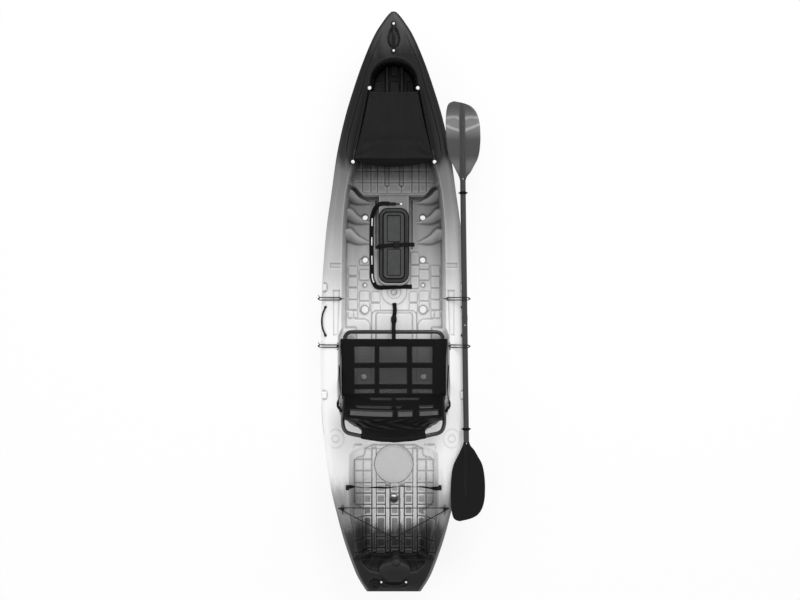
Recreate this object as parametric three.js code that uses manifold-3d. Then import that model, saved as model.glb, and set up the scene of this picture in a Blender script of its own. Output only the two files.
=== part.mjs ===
// A sit-on-top fishing kayak with a folding frame seat, a stowed two-piece paddle and deck rigging.
// Millimetres. +Y is the bow, +X is starboard, +Z is up. The origin is on the flat of the keel,
// at half the hull's length.

import * as THREE from 'three';
import { mergeVertices } from 'three/addons/utils/BufferGeometryUtils.js';
import Module from 'manifold-3d';

const wasm = await Module();
wasm.setup();

// Shared clearances and stock
const fitGap = 0.3;
const cutOverrun = 60;
const webbingWidth = 25;
const webbingThickness = 2;
const cordDiameter = 6;
const screwHeadDiameter = 14;
const screwHeadHeight = 4;
const roundSides = 16;

// Hull
const hullLength = 3400;
const hullBeam = 868;
const hullWall = 4;
const sheerHeight = 300;
const bowSheerRise = 85;
const sternSheerRise = 30;
const bowKeelRise = 240;
const sternKeelRise = 110;
const gunwaleBandWidth = 40;

// Places along the hull, as shares of its length from the middle towards the bow
const bowWellFrontShare = 0.4215;
const bowWellRearShare = 0.1665;
const cockpitFrontShare = 0.1841;
const cockpitRearShare = -0.2029;
const hatchCentreShare = 0.1018;
const braceFrontShare = 0.1741;
const tankFrontShare = -0.2421;
const tankRearShare = -0.4588;
const plateShare = -0.2835;
const domeShare = -0.4647;
const drainShare = -0.4859;
const sternHandleShare = -0.4812;
const bowHandleFrontShare = 0.4785;
const bowHandleRearShare = 0.4338;
const coverFrontShare = 0.365;
const coverRearShare = 0.2503;
const studFrontShare = 0.3712;
const studRearShare = 0.2447;
const sideHandleFrontShare = -0.0062;
const frontRestShare = 0.0271;
const rearRestShare = -0.1597;
const seatRearBarShare = -0.1721;
const keeperFrontShare = 0.0074;
const keeperRearShare = -0.0747;
const lacingFrontShare = -0.3568;
const lacingRearShare = -0.4412;
const lashingShare = -0.32;

// Bow well, under the mesh cover and open towards the cockpit
const bowWellFrontY = bowWellFrontShare * hullLength;
const bowWellRearY = bowWellRearShare * hullLength;
const bowWellDeckWidth = 152;
const bowWellHalfWidth = hullBeam / 2 - bowWellDeckWidth;
const bowWellFloor = 165;
const wellDraft = 26;

// Cockpit
const cockpitFrontY = cockpitFrontShare * hullLength;
const cockpitRearY = cockpitRearShare * hullLength;
const sideDeckWidth = 104;
const cockpitHalfWidth = hullBeam / 2 - sideDeckWidth;
const cockpitFloor = 110;
const padHeight = 6;
const scupperDiameter = 34;

// Console and its hatch
const consoleMargin = 14;
const hatchLength = 452;
const hatchWidth = 180;
const hatchCentreY = hatchCentreShare * hullLength;
const consoleHalfWidth = hatchWidth / 2 + consoleMargin / 2;
const consoleRearY = hatchCentreY - hatchLength / 2 - consoleMargin;
const hatchCornerRadius = 53;
const hatchFrameHeight = 12;
const hatchFrameBar = 26;
const gasketWidth = 8;
const gasketHeight = 3;
const lidMargin = 14;
const lidPlateHeight = 7;
const lidPlateauInset = 12;
const lidPlateauHeight = 7;
const lidPanelWidth = 80;
const lidPanelLength = 158;
const lidPanelPitch = 202;
const lidPanelDepth = 3;
const lidPlugDepth = 8;
const hatchStrapY = hatchCentreY;
const hatchStrapDrop = 34;
const hatchStrapTail = 34;
const buckleLength = 47;
const buckleWidth = 34;
const buckleHeight = 9;
const hatchBuckleX = 16;

// Foot braces on both cockpit walls
const braceFrontY = braceFrontShare * hullLength;
const bracePitch = 110;
const braceConsoleGap = 85;
const braceLength = 84;
const braceHeight = 92;

// Seat ledges, stops and the raised middle of the cockpit floor
const seatDepth = 413;
const seatRearBarY = seatRearBarShare * hullLength;
const seatFrontBarY = seatRearBarY + seatDepth;
const ledgeTop = 215;
const ledgeWidth = 102;
const ledgeInnerX = cockpitHalfWidth - ledgeWidth;
const ledgeFrontMargin = 22;
const ledgeFrontY = seatFrontBarY + ledgeFrontMargin;
const stopWidth = 128;
const stopWallGap = 47;
const stopOuterX = cockpitHalfWidth - stopWallGap;
const stopInnerX = stopOuterX - stopWidth;
const stopFrontMargin = 69;
const stopFrontY = seatFrontBarY + stopFrontMargin;
const stopLength = 38;
const stopHeight = 22;
const midPadHalfWidth = 136;
const midPadFrontMargin = 120;
const midPadFrontY = seatFrontBarY + midPadFrontMargin;
const midPadTop = 150;

// Tank well behind the seat
const tankFrontY = tankFrontShare * hullLength;
const tankRearY = tankRearShare * hullLength;
const tankDeckWidth = 172;
const tankHalfWidth = hullBeam / 2 - tankDeckWidth;
const tankFloor = 200;
const tankRibHeight = 14;
const plateCentreY = plateShare * hullLength;
const plateDiameter = 212;
const plateRingDiameter = 226;
const plateRingHeight = 12;
const plateHoleDiameter = 172;
const plateThickness = 10;
const platePlugDepth = 16;

// Stern deck
const domeY = domeShare * hullLength;
const domeDiameter = 132;
const domeHeight = 26;
const drainX = -112;
const drainY = drainShare * hullLength;
const drainFlangeDiameter = 58;
const drainFlangeHeight = 7;
const drainKnobDiameter = 38;
const drainKnobHeight = 9;
const drainBore = 34;
const sternHandleY = sternHandleShare * hullLength;
const sternHandleSpan = 150;
const sternHandleBow = 24;
const sternHandleRadius = 6;

// Bow handle
const bowHandleFrontY = bowHandleFrontShare * hullLength;
const bowHandleRearY = bowHandleRearShare * hullLength;
const bowHandleWidth = 24;
const bowHandleThickness = 9;
const bowHandleRise = 20;
const bowHandleSeat = 0.9;
const bowRecessHalfWidth = 40;
const bowRecessDepth = 26;

// Bow cover of coated mesh
const coverFrontY = coverFrontShare * hullLength;
const coverRearY = coverRearShare * hullLength;
const coverFrontBreadthShare = 0.4965;
const coverRearBreadthShare = 0.8262;
const coverFrontHalfWidth = coverFrontBreadthShare * bowWellHalfWidth;
const coverRearHalfWidth = coverRearBreadthShare * bowWellHalfWidth;
const coverThickness = 3;
const coverSag = 16;
const coverFrontBellyShare = 0.35;
const coverFoldCount = 5;
const coverCordInset = 5;
const studDiameter = 22;
const studHeight = 8;
const studFrontMargin = 2;
const studRearMargin = 8;
const studFrontX = coverFrontHalfWidth + studFrontMargin;
const studFrontY = studFrontShare * hullLength;
const studRearX = coverRearHalfWidth + studRearMargin;
const studRearY = studRearShare * hullLength;

// Side handles
const sideHandleFrontY = sideHandleFrontShare * hullLength;
const sideHandleLength = 173;
const sideHandleInset = 31;
const sideHandleX = hullBeam / 2 - sideHandleInset;
const sideHandleBow = 24;
const sideHandleRadius = 5;

// Raised rests on both gunwales
const restInset = 3;
const restWidth = 39;
const restOuterX = hullBeam / 2 - restInset;
const restInnerX = restOuterX - restWidth;
const restLength = 45;
const restHeight = 10;
const frontRestY = frontRestShare * hullLength;
const rearRestY = rearRestShare * hullLength;

// Seat
const seatRailRadius = 11;
const seatWallGap = 39;
const seatRailX = cockpitHalfWidth - seatWallGap;
const seatCornerRadius = 34;
const seatFootHeight = 20;
const seatFootWidth = 22;
const seatFootLength = 46;
const seatFootFrontInset = 64;
const seatFootFrontY = seatFrontBarY - seatFootFrontInset;
const seatFootRearInset = 85;
const seatFootRearY = seatRearBarY + seatFootRearInset;
const seatHingeInset = 29;
const seatHingeY = seatRearBarY + seatHingeInset;
const seatHingeRise = 33;
const seatBackLength = 428;
const seatBackRecline = 28.5;
const seatBackCornerRadius = 150;
const seatPanFrontInset = 41;
const seatPanFrontY = seatFrontBarY - seatPanFrontInset;
const seatPanRearInset = 49;
const seatPanRearY = seatRearBarY + seatPanRearInset;
const seatPanOverhang = 27;
const seatPanHalfWidth = seatRailX + seatPanOverhang;
const seatPanThickness = 4;
const seatPanSag = 14;
const seatPanSagStartShare = 0.12;
const seatPanSkirt = 18;
const seatBackThickness = 5;
const seatBackTopHalfWidth = 188;
const seatBackFabricStart = 28;
const seatBackShoulder = 250;
const hingePinRadius = 4;
const hingeEarThickness = 4;
const hingeEarLength = 26;
const sideStrapFrontInset = 200;
const sideStrapFrontY = seatFrontBarY - sideStrapFrontInset;
const sideStrapAlongBack = 150;
const sideStrapGap = 1.8;
const sideBuckleThickness = 3;
const tetherStudMargin = 44;
const tetherStudY = midPadFrontY + tetherStudMargin;
const tetherBuckleReach = 66;
const tetherBuckleY = seatFrontBarY + tetherBuckleReach;

// Webbing strap lying loose in the footwell
const floorStudX = 43;
const floorStudMargin = 25;
const floorStudY = hatchCentreY + hatchLength / 2 + floorStudMargin;
const floorStrapClipX = -4;
const floorStrapGap = 31;
const floorStrapX = -consoleHalfWidth - floorStrapGap;
const floorStrapRearGap = 14;
const floorStrapRearY = consoleRearY - floorStrapRearGap;
const floorStrapEnd = 9;
const floorStrapEndX = consoleHalfWidth + floorStrapEnd;

// Paddle
const paddleInset = 18;
const paddleX = hullBeam / 2 - paddleInset;
const paddleYaw = 0.76;
const paddleBowEnd = 1186;
const paddleSternEnd = -1281;
const shaftDiameter = 33;
const shaftBore = 26;
const shaftBowEnd = 724;
const shaftSternEnd = -820;
const ferruleLength = 60;
const ferruleDiameter = 25;
const ferruleBore = 20;
const shaftJointY = -104;
const bladeWidth = 198;
const bladeThickness = 6;
const bladeSpineDiameter = 39;
const bladeSpineRiseShare = 0.42;
const bladeSpineKeptShare = 0.9;
const bladeSpineReachShare = 0.6;
const bladeNeckShare = 0.02;
const bladeTipThinningShare = 0.55;
const dripRingDiameter = 58;
const dripRingLength = 14;
const dripRingBowY = 647;
const dripRingSternY = -740;
const paddleButtonDiameter = 8;
const paddleButtonHeight = 3;
const paddleButtonY = -130;

// Bungee keepers that hold the paddle
const keeperSpread = 14;
const keeperFrontY = keeperFrontShare * hullLength;
const keeperRearY = keeperRearShare * hullLength;
const keeperFrontInset = 118;
const keeperRearInset = 100;
const keeperFrontInnerX = hullBeam / 2 - keeperFrontInset;
const keeperRearInnerX = hullBeam / 2 - keeperRearInset;
const keeperHookDiameter = 13;

// Bungee over the tank well and the lashing strap
const lacingMargin = 38;
const lacingFrontX = tankHalfWidth + lacingMargin;
const lacingFrontY = lacingFrontShare * hullLength;
const lacingRearBeamShare = 0.25;
const lacingRearX = lacingRearBeamShare * hullBeam;
const lacingRearY = lacingRearShare * hullLength;
const knobNeckDiameter = 9;
const knobHeadDiameter = 18;
const knobHeight = 17;
const lashingY = lashingShare * hullLength;
const lashingLanding = 21;
const lashingHalfLength = tankHalfWidth + lashingLanding;
const lashingWidth = 32;
const lashingThickness = 4;
const lashingSag = 22;
const lashingTabShare = 0.93;
const lashingShares = [-1, -lashingTabShare, -0.6, -0.3, 0, 0.3, 0.6, lashingTabShare, 1];

// Shares of the hull's length and of its half beam: the plan outline from stern to bow
const breadthShares = [
  [-0.5, 0.364], [-0.4947, 0.394], [-0.474, 0.495], [-0.453, 0.565], [-0.4115, 0.68],
  [-0.37, 0.77], [-0.328, 0.85], [-0.2865, 0.906], [-0.245, 0.947], [-0.182, 0.988],
  [-0.0885, 1], [0.005, 0.988], [0.068, 0.961], [0.13, 0.919], [0.193, 0.85],
  [0.255, 0.781], [0.318, 0.673], [0.38, 0.523], [0.422, 0.401], [0.4635, 0.251],
  [0.484, 0.143], [0.4955, 0.07], [0.5, 0.03],
];
// Shares of half breadth and of height, from the keel's middle out and up to the widest line
const sectionShares = [[0, 0], [0.4, 0], [0.66, 0.05], [0.86, 0.2], [0.955, 0.45], [0.99, 0.75], [1, 0.9]];
// Shares of the gunwale band's width, inwards, and of the height
const bandShares = [[0.35, 0.965], [1, 1]];
const bandMostShare = 0.3;
const bowKeelStartShare = 0.5;
const sternKeelStartShare = 0.62;

// Shares of the bow well's length and half width, from its front end
const bowWellShares = [
  [0, 0.16], [0.02, 0.27], [0.065, 0.38], [0.13, 0.43], [0.205, 0.46], [0.44, 0.62],
  [0.69, 0.81], [0.81, 0.95], [0.92, 0.99], [1, 0.99],
];
const ledgeStartShare = (cockpitFrontY - ledgeFrontY) / (cockpitFrontY - cockpitRearY);
const ledgeBlendShare = 0.035;
// Shares of the cockpit's length and half width, from its front end
const cockpitShares = [
  [0, 0.85], [0.14, 0.91], [0.3, 0.924], [ledgeStartShare, 0.93], [ledgeStartShare + ledgeBlendShare, 1],
  [0.93, 1], [0.975, 0.95], [1, 0.82],
];
// Shares of the tank well's length and half width, from its front end
const tankShares = [
  [0, 0.48], [0.085, 1], [0.52, 1], [0.56, 0.63], [0.9, 0.58], [0.97, 0.44], [1, 0.2],
];
// Shares of the bow recess's length and half width, from its front end
const recessShares = [[0, 0.2], [0.16, 0.62], [0.42, 1], [0.68, 0.8], [1, 0.16]];
// Shares of the blade's length from its neck, and of its width to either side of the spine
const bladeShares = [
  [0, 0.09, 0.09], [0.1, 0.13, 0.17], [0.28, 0.3, 0.41], [0.5, 0.44, 0.51], [0.72, 0.5, 0.5],
  [0.88, 0.49, 0.42], [0.96, 0.4, 0.22], [1, 0.24, 0.02],
];

const sheerRise = (share) => {
  const rise = share > 0 ? bowSheerRise : -sternSheerRise;
  return rise * (2 * share) ** 3;
};

const keelRise = (share) => {
  const towardsBow = Math.max(0, (2 * share - bowKeelStartShare) / (1 - bowKeelStartShare));
  const towardsStern = Math.max(0, (-2 * share - sternKeelStartShare) / (1 - sternKeelStartShare));
  return bowKeelRise * towardsBow ** 2.2 + sternKeelRise * towardsStern ** 2;
};

// Every line of the hull runs straight between its stations
const hullLines = breadthShares.map(([share, breadth]) => ({
  y: share * hullLength,
  halfBreadth: breadth * hullBeam / 2,
  sheer: sheerHeight + sheerRise(share),
  keel: keelRise(share),
}));

function lineAt(name, y) {
  const next = Math.min(hullLines.length - 1, Math.max(1, hullLines.findIndex((station) => station.y >= y)));
  const [before, after] = [hullLines[next - 1], hullLines[next]];
  const blend = (y - before.y) / (after.y - before.y);
  return before[name] + blend * (after[name] - before[name]);
}

const sheerAt = (y) => lineAt('sheer', y);
const keelAt = (y) => lineAt('keel', y);
const halfBreadthAt = (y) => lineAt('halfBreadth', y);
const restingOn = (y, radius) => Math.max(sheerAt(y - radius), sheerAt(y + radius)) + fitGap;

// Height of the deck's outer surface over the sloping gunwale band
const deckAt = (x, y) => {
  const breadth = halfBreadthAt(y);
  const height = sheerAt(y) - keelAt(y);
  const inwards = Math.min(1, (breadth - Math.abs(x)) / gunwaleBandWidth);
  const [[kneeAcross, kneeUp]] = bandShares;
  const widest = sectionShares.at(-1)[1];
  const up = inwards < kneeAcross
    ? widest + (kneeUp - widest) * inwards / kneeAcross
    : kneeUp + (1 - kneeUp) * (inwards - kneeAcross) / (1 - kneeAcross);
  return keelAt(y) + height * up;
};

// Turns points and triangles into a closed solid whose faces point outwards
function solidOf(points, triangles) {
  const position = new Float32Array(points.flat());
  const corner = (index) => new THREE.Vector3().fromArray(position, 3 * index);
  let volume = 0;
  for (let i = 0; i < triangles.length; i += 3) {
    const [a, b, c] = [corner(triangles[i]), corner(triangles[i + 1]), corner(triangles[i + 2])];
    volume += a.dot(b.cross(c));
  }
  const outwards = volume > 0 ? triangles : [...triangles].reverse();
  const geometry = new THREE.BufferGeometry();
  geometry.setAttribute('position', new THREE.BufferAttribute(position, 3));
  geometry.setIndex(outwards);
  return manifoldOf(geometry);
}

function manifoldOf(geometry) {
  const bare = geometry.clone();
  bare.deleteAttribute('normal');
  bare.deleteAttribute('uv');
  const merged = mergeVertices(bare, 1e-4);
  return new wasm.Manifold(new wasm.Mesh({
    numProp: 3,
    vertProperties: new Float32Array(merged.attributes.position.array),
    triVerts: new Uint32Array(merged.index.array),
  }));
}

function geometryOf(solid) {
  const mesh = solid.getMesh();
  const geometry = new THREE.BufferGeometry();
  geometry.setAttribute('position', new THREE.BufferAttribute(new Float32Array(mesh.vertProperties), 3));
  geometry.setIndex(new THREE.BufferAttribute(new Uint32Array(mesh.triVerts), 1));
  geometry.computeVertexNormals();
  return geometry;
}

// Triangles across a flat ring, turning the same way as the ring does
function capOf(ring, flatten) {
  const outline = ring.map((point) => new THREE.Vector2(...flatten(point)));
  const ringTurn = Math.sign(THREE.ShapeUtils.area(outline));
  return THREE.ShapeUtils.triangulateShape(outline, []).map((face) => {
    const turn = Math.sign(THREE.ShapeUtils.area(face.map((index) => outline[index])));
    return turn === ringTurn ? face : [...face].reverse();
  });
}

// A skin over rings with equally many points, capped at its ends or closed on itself
function loft(rings, flatten, closed = false) {
  const count = rings[0].length;
  const total = count * rings.length;
  const triangles = [];
  const spans = closed ? rings.length : rings.length - 1;
  for (let i = 0; i < spans; i++) {
    for (let j = 0; j < count; j++) {
      const a = i * count + j;
      const b = i * count + (j + 1) % count;
      const above = (index) => (index + count) % total;
      triangles.push(a, b, above(b), a, above(b), above(a));
    }
  }
  if (!closed) {
    const last = count * (rings.length - 1);
    for (const [a, b, c] of capOf(rings[0], flatten)) triangles.push(a, c, b);
    for (const [a, b, c] of capOf(rings.at(-1), flatten)) triangles.push(a + last, b + last, c + last);
  }
  return solidOf(rings.flat(), triangles);
}

const fromAbove = ([x, y]) => [x, y];
const fromAhead = ([x, , z]) => [x, z];

// An outline that is the same on both sides, from rows of length and width shares
const bothSides = (shares, frontY, rearY, halfWidth) => {
  const starboard = shares.map(([along, across]) => [across * halfWidth, frontY + along * (rearY - frontY)]);
  return [...starboard, ...starboard.map(([x, y]) => [-x, y]).reverse()];
};

const mirrored = (outline) => outline.map(([x, y]) => [-x, y]).reverse();
const atHeight = (outline, z) => outline.map(([x, y]) => [x, y, z]);

// Moves every corner of an outline outwards by a distance, along the bisector of its two sides
function grown(outline, distance) {
  const turn = Math.sign(THREE.ShapeUtils.area(outline.map(([x, y]) => new THREE.Vector2(x, y))));
  return outline.map(([x, y], index) => {
    const before = outline.at(index - 1);
    const after = outline[(index + 1) % outline.length];
    const arriving = new THREE.Vector2(x - before[0], y - before[1]).normalize();
    const leaving = new THREE.Vector2(after[0] - x, after[1] - y).normalize();
    const along = arriving.clone().add(leaving).normalize();
    const reach = turn * distance / Math.max(0.5, along.dot(leaving));
    return [x + along.y * reach, y - along.x * reach];
  });
}

const rectangle = (left, right, rear, front) => [[left, rear], [right, rear], [right, front], [left, front]];

function roundedOutline(width, length, radius, arcSteps = 5) {
  const outline = [];
  const corners = [[1, 1], [-1, 1], [-1, -1], [1, -1]];
  corners.forEach(([sideX, sideY], quarter) => {
    for (let step = 0; step <= arcSteps; step++) {
      const angle = (quarter + step / arcSteps) * Math.PI / 2;
      const centreX = sideX * (width / 2 - radius);
      const centreY = sideY * (length / 2 - radius);
      outline.push([centreX + radius * Math.cos(angle), centreY + radius * Math.sin(angle)]);
    }
  });
  return outline;
}

const moved = (outline, x, y) => outline.map((point) => [point[0] + x, point[1] + y]);
const slab = (outline, bottom, top) => loft([atHeight(outline, bottom), atHeight(outline, top)], fromAbove);

const circle = (radius, sides, x = 0, y = 0) => Array.from({ length: sides }, (_, index) => {
  const angle = index * 2 * Math.PI / sides;
  return [x + radius * Math.cos(angle), y + radius * Math.sin(angle)];
});

// A turned solid about the Z axis from rows of radius and height
const turned = (profile, sides) => manifoldOf(
  new THREE.LatheGeometry(profile.map(([radius, height]) => new THREE.Vector2(radius, height)), sides)
    .rotateX(Math.PI / 2),
);

const rod = (radius, length, sides, axis) => {
  const geometry = new THREE.CylinderGeometry(radius, radius, length, sides);
  if (axis === 'x') geometry.rotateZ(Math.PI / 2);
  if (axis === 'z') geometry.rotateX(Math.PI / 2);
  return manifoldOf(geometry);
};

// A round tube along a smooth curve, with equally many steps between each two points
function tubeAlong(points, radius, sides, stepsEach) {
  const places = points.map((point) => new THREE.Vector3(...point));
  const path = new THREE.CatmullRomCurve3(places, false, 'centripetal');
  path.getPointAt = (share) => path.getPoint(share);
  path.getTangentAt = (share) => path.getTangent(share);
  const steps = stepsEach * (points.length - 1);
  const section = new THREE.Shape(circle(radius, sides).map(([x, y]) => new THREE.Vector2(x, y)));
  return manifoldOf(new THREE.ExtrudeGeometry(section, { steps, extrudePath: path, curveSegments: 1 }));
}

// A bar of a given section along the points; its width lies along the fixed direction,
// or level and square to the path where no direction is given
function barAlong(points, section, { across, closed = false } = {}) {
  const path = points.map((point) => new THREE.Vector3(...point));
  const rings = path.map((point, index) => {
    const before = closed ? path.at(index - 1) : path[Math.max(0, index - 1)];
    const after = closed ? path[(index + 1) % path.length] : path[Math.min(path.length - 1, index + 1)];
    const tangent = after.clone().sub(before).normalize();
    const level = new THREE.Vector3(tangent.y, -tangent.x, 0).normalize();
    const side = across ? new THREE.Vector3(...across) : level;
    const normal = side.clone().cross(tangent).normalize();
    const square = tangent.clone().cross(normal);
    const placed = ([u, v]) => point.clone().addScaledVector(square, u).addScaledVector(normal, v);
    return section.map((place) => placed(place).toArray());
  });
  const start = path[1].clone().sub(path[0]).normalize();
  const side = across ? new THREE.Vector3(...across) : new THREE.Vector3(start.y, -start.x, 0).normalize();
  const ringNormal = side.clone().cross(start).normalize();
  const flatten = (point) => {
    const corner = new THREE.Vector3(...point);
    return [corner.dot(side), corner.dot(ringNormal)];
  };
  return loft(rings, flatten, closed);
}

const webbing = (width, thickness) => rectangle(-width / 2, width / 2, -thickness / 2, thickness / 2);
const union = (solids) => solids.reduce((whole, solid) => whole.add(solid));

// A hull section at one place along the length, moved inwards by an inset
function hullSection(y, inset) {
  const breadth = halfBreadthAt(y) - inset;
  const keel = keelAt(y) + inset;
  const height = sheerAt(y) - inset - keel;
  const band = Math.min(gunwaleBandWidth, breadth * bandMostShare);
  const starboard = [
    ...sectionShares.map(([across, up]) => [breadth * across, y, keel + height * up]),
    ...bandShares.map(([inwards, up]) => [breadth - band * inwards, y, keel + height * up]),
  ];
  const port = starboard.slice(1).map(([x, , z]) => [-x, y, z]).reverse();
  return [...starboard, [0, y, keel + height], ...port];
}

function hullBody(inset) {
  const used = inset ? hullLines.slice(1, -2) : hullLines;
  return loft(used.map(({ y }) => hullSection(y, inset)), fromAhead);
}

// A hollow in the deck with sloping walls; grown by a wall, it is what the hull's inside leaves free
function well(outline, floor, wall) {
  const top = sheerHeight + bowSheerRise + cutOverrun;
  return loft([
    atHeight(grown(outline, wall - wellDraft), floor - wall),
    atHeight(grown(outline, wall), sheerHeight),
    atHeight(grown(outline, wall), top),
  ], fromAbove);
}

// A raised form on a floor; with a wall it is the hollow inside that form
function boss(outline, floor, top, draft, wall) {
  const bottom = wall ? floor - 3 * wall : floor - hullWall / 2;
  return loft([
    atHeight(grown(outline, -wall), bottom),
    atHeight(grown(outline, -wall - draft), top - wall),
  ], fromAbove);
}

const bowWellOutline = bothSides(bowWellShares, bowWellFrontY, bowWellRearY, bowWellHalfWidth);
const cockpitOutline = bothSides(cockpitShares, cockpitFrontY, cockpitRearY, cockpitHalfWidth);
const tankOutline = bothSides(tankShares, tankFrontY, tankRearY, tankHalfWidth);
const bowRecessOutline = bothSides(recessShares, bowHandleFrontY - bowHandleWidth / 2,
  bowHandleRearY + bowHandleWidth / 2, bowRecessHalfWidth);

const hatchOutline = moved(roundedOutline(hatchWidth, hatchLength, hatchCornerRadius), 0, hatchCentreY);

// The large raised forms, each hollow in the moulding
function raisedForms(wall) {
  const consoleOutline = [
    [-consoleHalfWidth, cockpitFrontY + wellDraft], [-consoleHalfWidth, consoleRearY + hatchCornerRadius],
    [-consoleHalfWidth + hatchCornerRadius * 0.3, consoleRearY + hatchCornerRadius * 0.3],
    [-consoleHalfWidth + hatchCornerRadius, consoleRearY],
    [consoleHalfWidth - hatchCornerRadius, consoleRearY],
    [consoleHalfWidth - hatchCornerRadius * 0.3, consoleRearY + hatchCornerRadius * 0.3],
    [consoleHalfWidth, consoleRearY + hatchCornerRadius], [consoleHalfWidth, cockpitFrontY + wellDraft],
  ];
  const ledge = rectangle(ledgeInnerX, cockpitHalfWidth, cockpitRearY + wellDraft, ledgeFrontY);
  const stop = rectangle(stopInnerX, stopOuterX, stopFrontY - stopLength, stopFrontY);
  const stopTop = ledgeTop + stopHeight;
  const draft = padHeight;
  return [
    boss(consoleOutline, cockpitFloor, bowWellFloor, draft / 2, wall),
    boss(ledge, cockpitFloor, ledgeTop, draft, wall),
    boss(mirrored(ledge), cockpitFloor, ledgeTop, draft, wall),
    boss(stop, cockpitFloor, stopTop, draft, wall),
    boss(mirrored(stop), cockpitFloor, stopTop, draft, wall),
    boss(rectangle(-midPadHalfWidth, midPadHalfWidth, cockpitRearY + wellDraft, midPadFrontY),
      cockpitFloor, midPadTop, draft, wall),
  ];
}

// One foot brace: a wedge that is highest at the cockpit wall
function footBrace(index, side) {
  const front = braceFrontY - index * bracePitch;
  const rear = front - braceLength;
  const wallX = cockpitHalfWidth * cockpitShares[1][1] + hullWall / 2;
  const innerX = consoleHalfWidth + braceConsoleGap;
  const topX = wallX - (wallX - innerX) / 3;
  const floor = cockpitFloor - hullWall / 2;
  const at = (x, y, z) => [side * x, y, z];
  return loft([
    [at(innerX, rear, floor), at(wallX, rear, floor), at(wallX, front, floor), at(innerX, front, floor)],
    [
      at(topX, rear + braceLength / 3, cockpitFloor + braceHeight),
      at(wallX, rear + braceLength / 4, cockpitFloor + braceHeight),
      at(wallX, front - braceLength / 4, cockpitFloor + braceHeight),
      at(topX, front - braceLength / 3, cockpitFloor + braceHeight),
    ],
  ], fromAbove);
}

// Low moulded pads in rows and columns; each row of a table is the pad's middle and size
function floorPads(columns, rows, floor) {
  const pads = [];
  for (const [columnX, width] of columns) {
    for (const [rowY, length] of rows) {
      const [left, right] = [columnX - width / 2, columnX + width / 2];
      const outline = rectangle(left, right, rowY - length / 2, rowY + length / 2);
      pads.push(boss(outline, floor, floor + padHeight, padHeight / 4, 0));
      if (columnX !== 0) pads.push(boss(mirrored(outline), floor, floor + padHeight, padHeight / 4, 0));
    }
  }
  return pads;
}

const footwellColumnShares = [[0.29, 0.12], [0.43, 0.11], [0.6, 0.16], [0.765, 0.13]];
const footwellRowShares = [[0.46, 0.26], [0.77, 0.26]];
const cockpitColumnShares = [[0.34, 0.14], [0.54, 0.175], [0.74, 0.155]];
const cockpitRowShares = [[0.303, 0.055], [0.369, 0.055], [0.43, 0.045]];
const tankRibShares = [[-0.45, 0.075], [0.48, 0.085], [-0.15, 0.07], [0.18, 0.08]];

function padRows(columnShares, rowShares, frontY, length, halfWidth, floor) {
  const columns = columnShares.map(([across, width]) => [across * halfWidth, width * halfWidth]);
  const rows = rowShares.map(([along, share]) => [frontY - along * length, share * length]);
  return floorPads(columns, rows, floor);
}

// Shares of the hull's length, of its beam and of the commonest hole's diameter
const scupperShares = [
  [0.1532, 0.2028, 0.97, true],
  [0.0771, 0.2028, 1, true],
  [0.0321, 0.2039, 0.53, true],
  [0.0194, 0, 0.76, false],
  [-0.0118, 0.2051, 1.29, true],
  [-0.1324, 0.2097, 1.03, true],
  [-0.3444, 0, 1.32, false],
];
const scuppers = scupperShares.map(([along, across, width, both]) => ({
  x: across * hullBeam,
  y: along * hullLength,
  diameter: width * scupperDiameter,
  both,
}));

// A slightly flared hole through floor and bottom, or with a wall the tube round it
function scupperTube({ x, y, diameter }, side, wall) {
  const top = wall ? tankFloor : tankFloor + cutOverrun;
  const bottom = -cutOverrun / 2;
  const flare = diameter / 6;
  const ring = (radius, z) => atHeight(circle(radius, 14, side * x, y), z);
  return loft([
    ring(diameter / 2 + flare + wall, bottom),
    ring(diameter / 2 + wall, cockpitFloor),
    ring(diameter / 2 + wall, top),
  ], fromAbove);
}

const scupperTubes = (wall) => scuppers.flatMap((scupper) => (
  (scupper.both ? [1, -1] : [1]).map((side) => scupperTube(scupper, side, wall))
));

// Raised rest on the gunwale that the paddle shaft lies on
function gunwaleRest(y, side) {
  const outline = rectangle(restInnerX, restOuterX, y - restLength / 2, y + restLength / 2);
  const placed = side > 0 ? outline : mirrored(outline);
  return slab(placed, sheerHeight - gunwaleBandWidth, sheerHeight + restHeight);
}

const paddleAxisZ = sheerHeight + restHeight + fitGap + shaftDiameter / 2;

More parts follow.
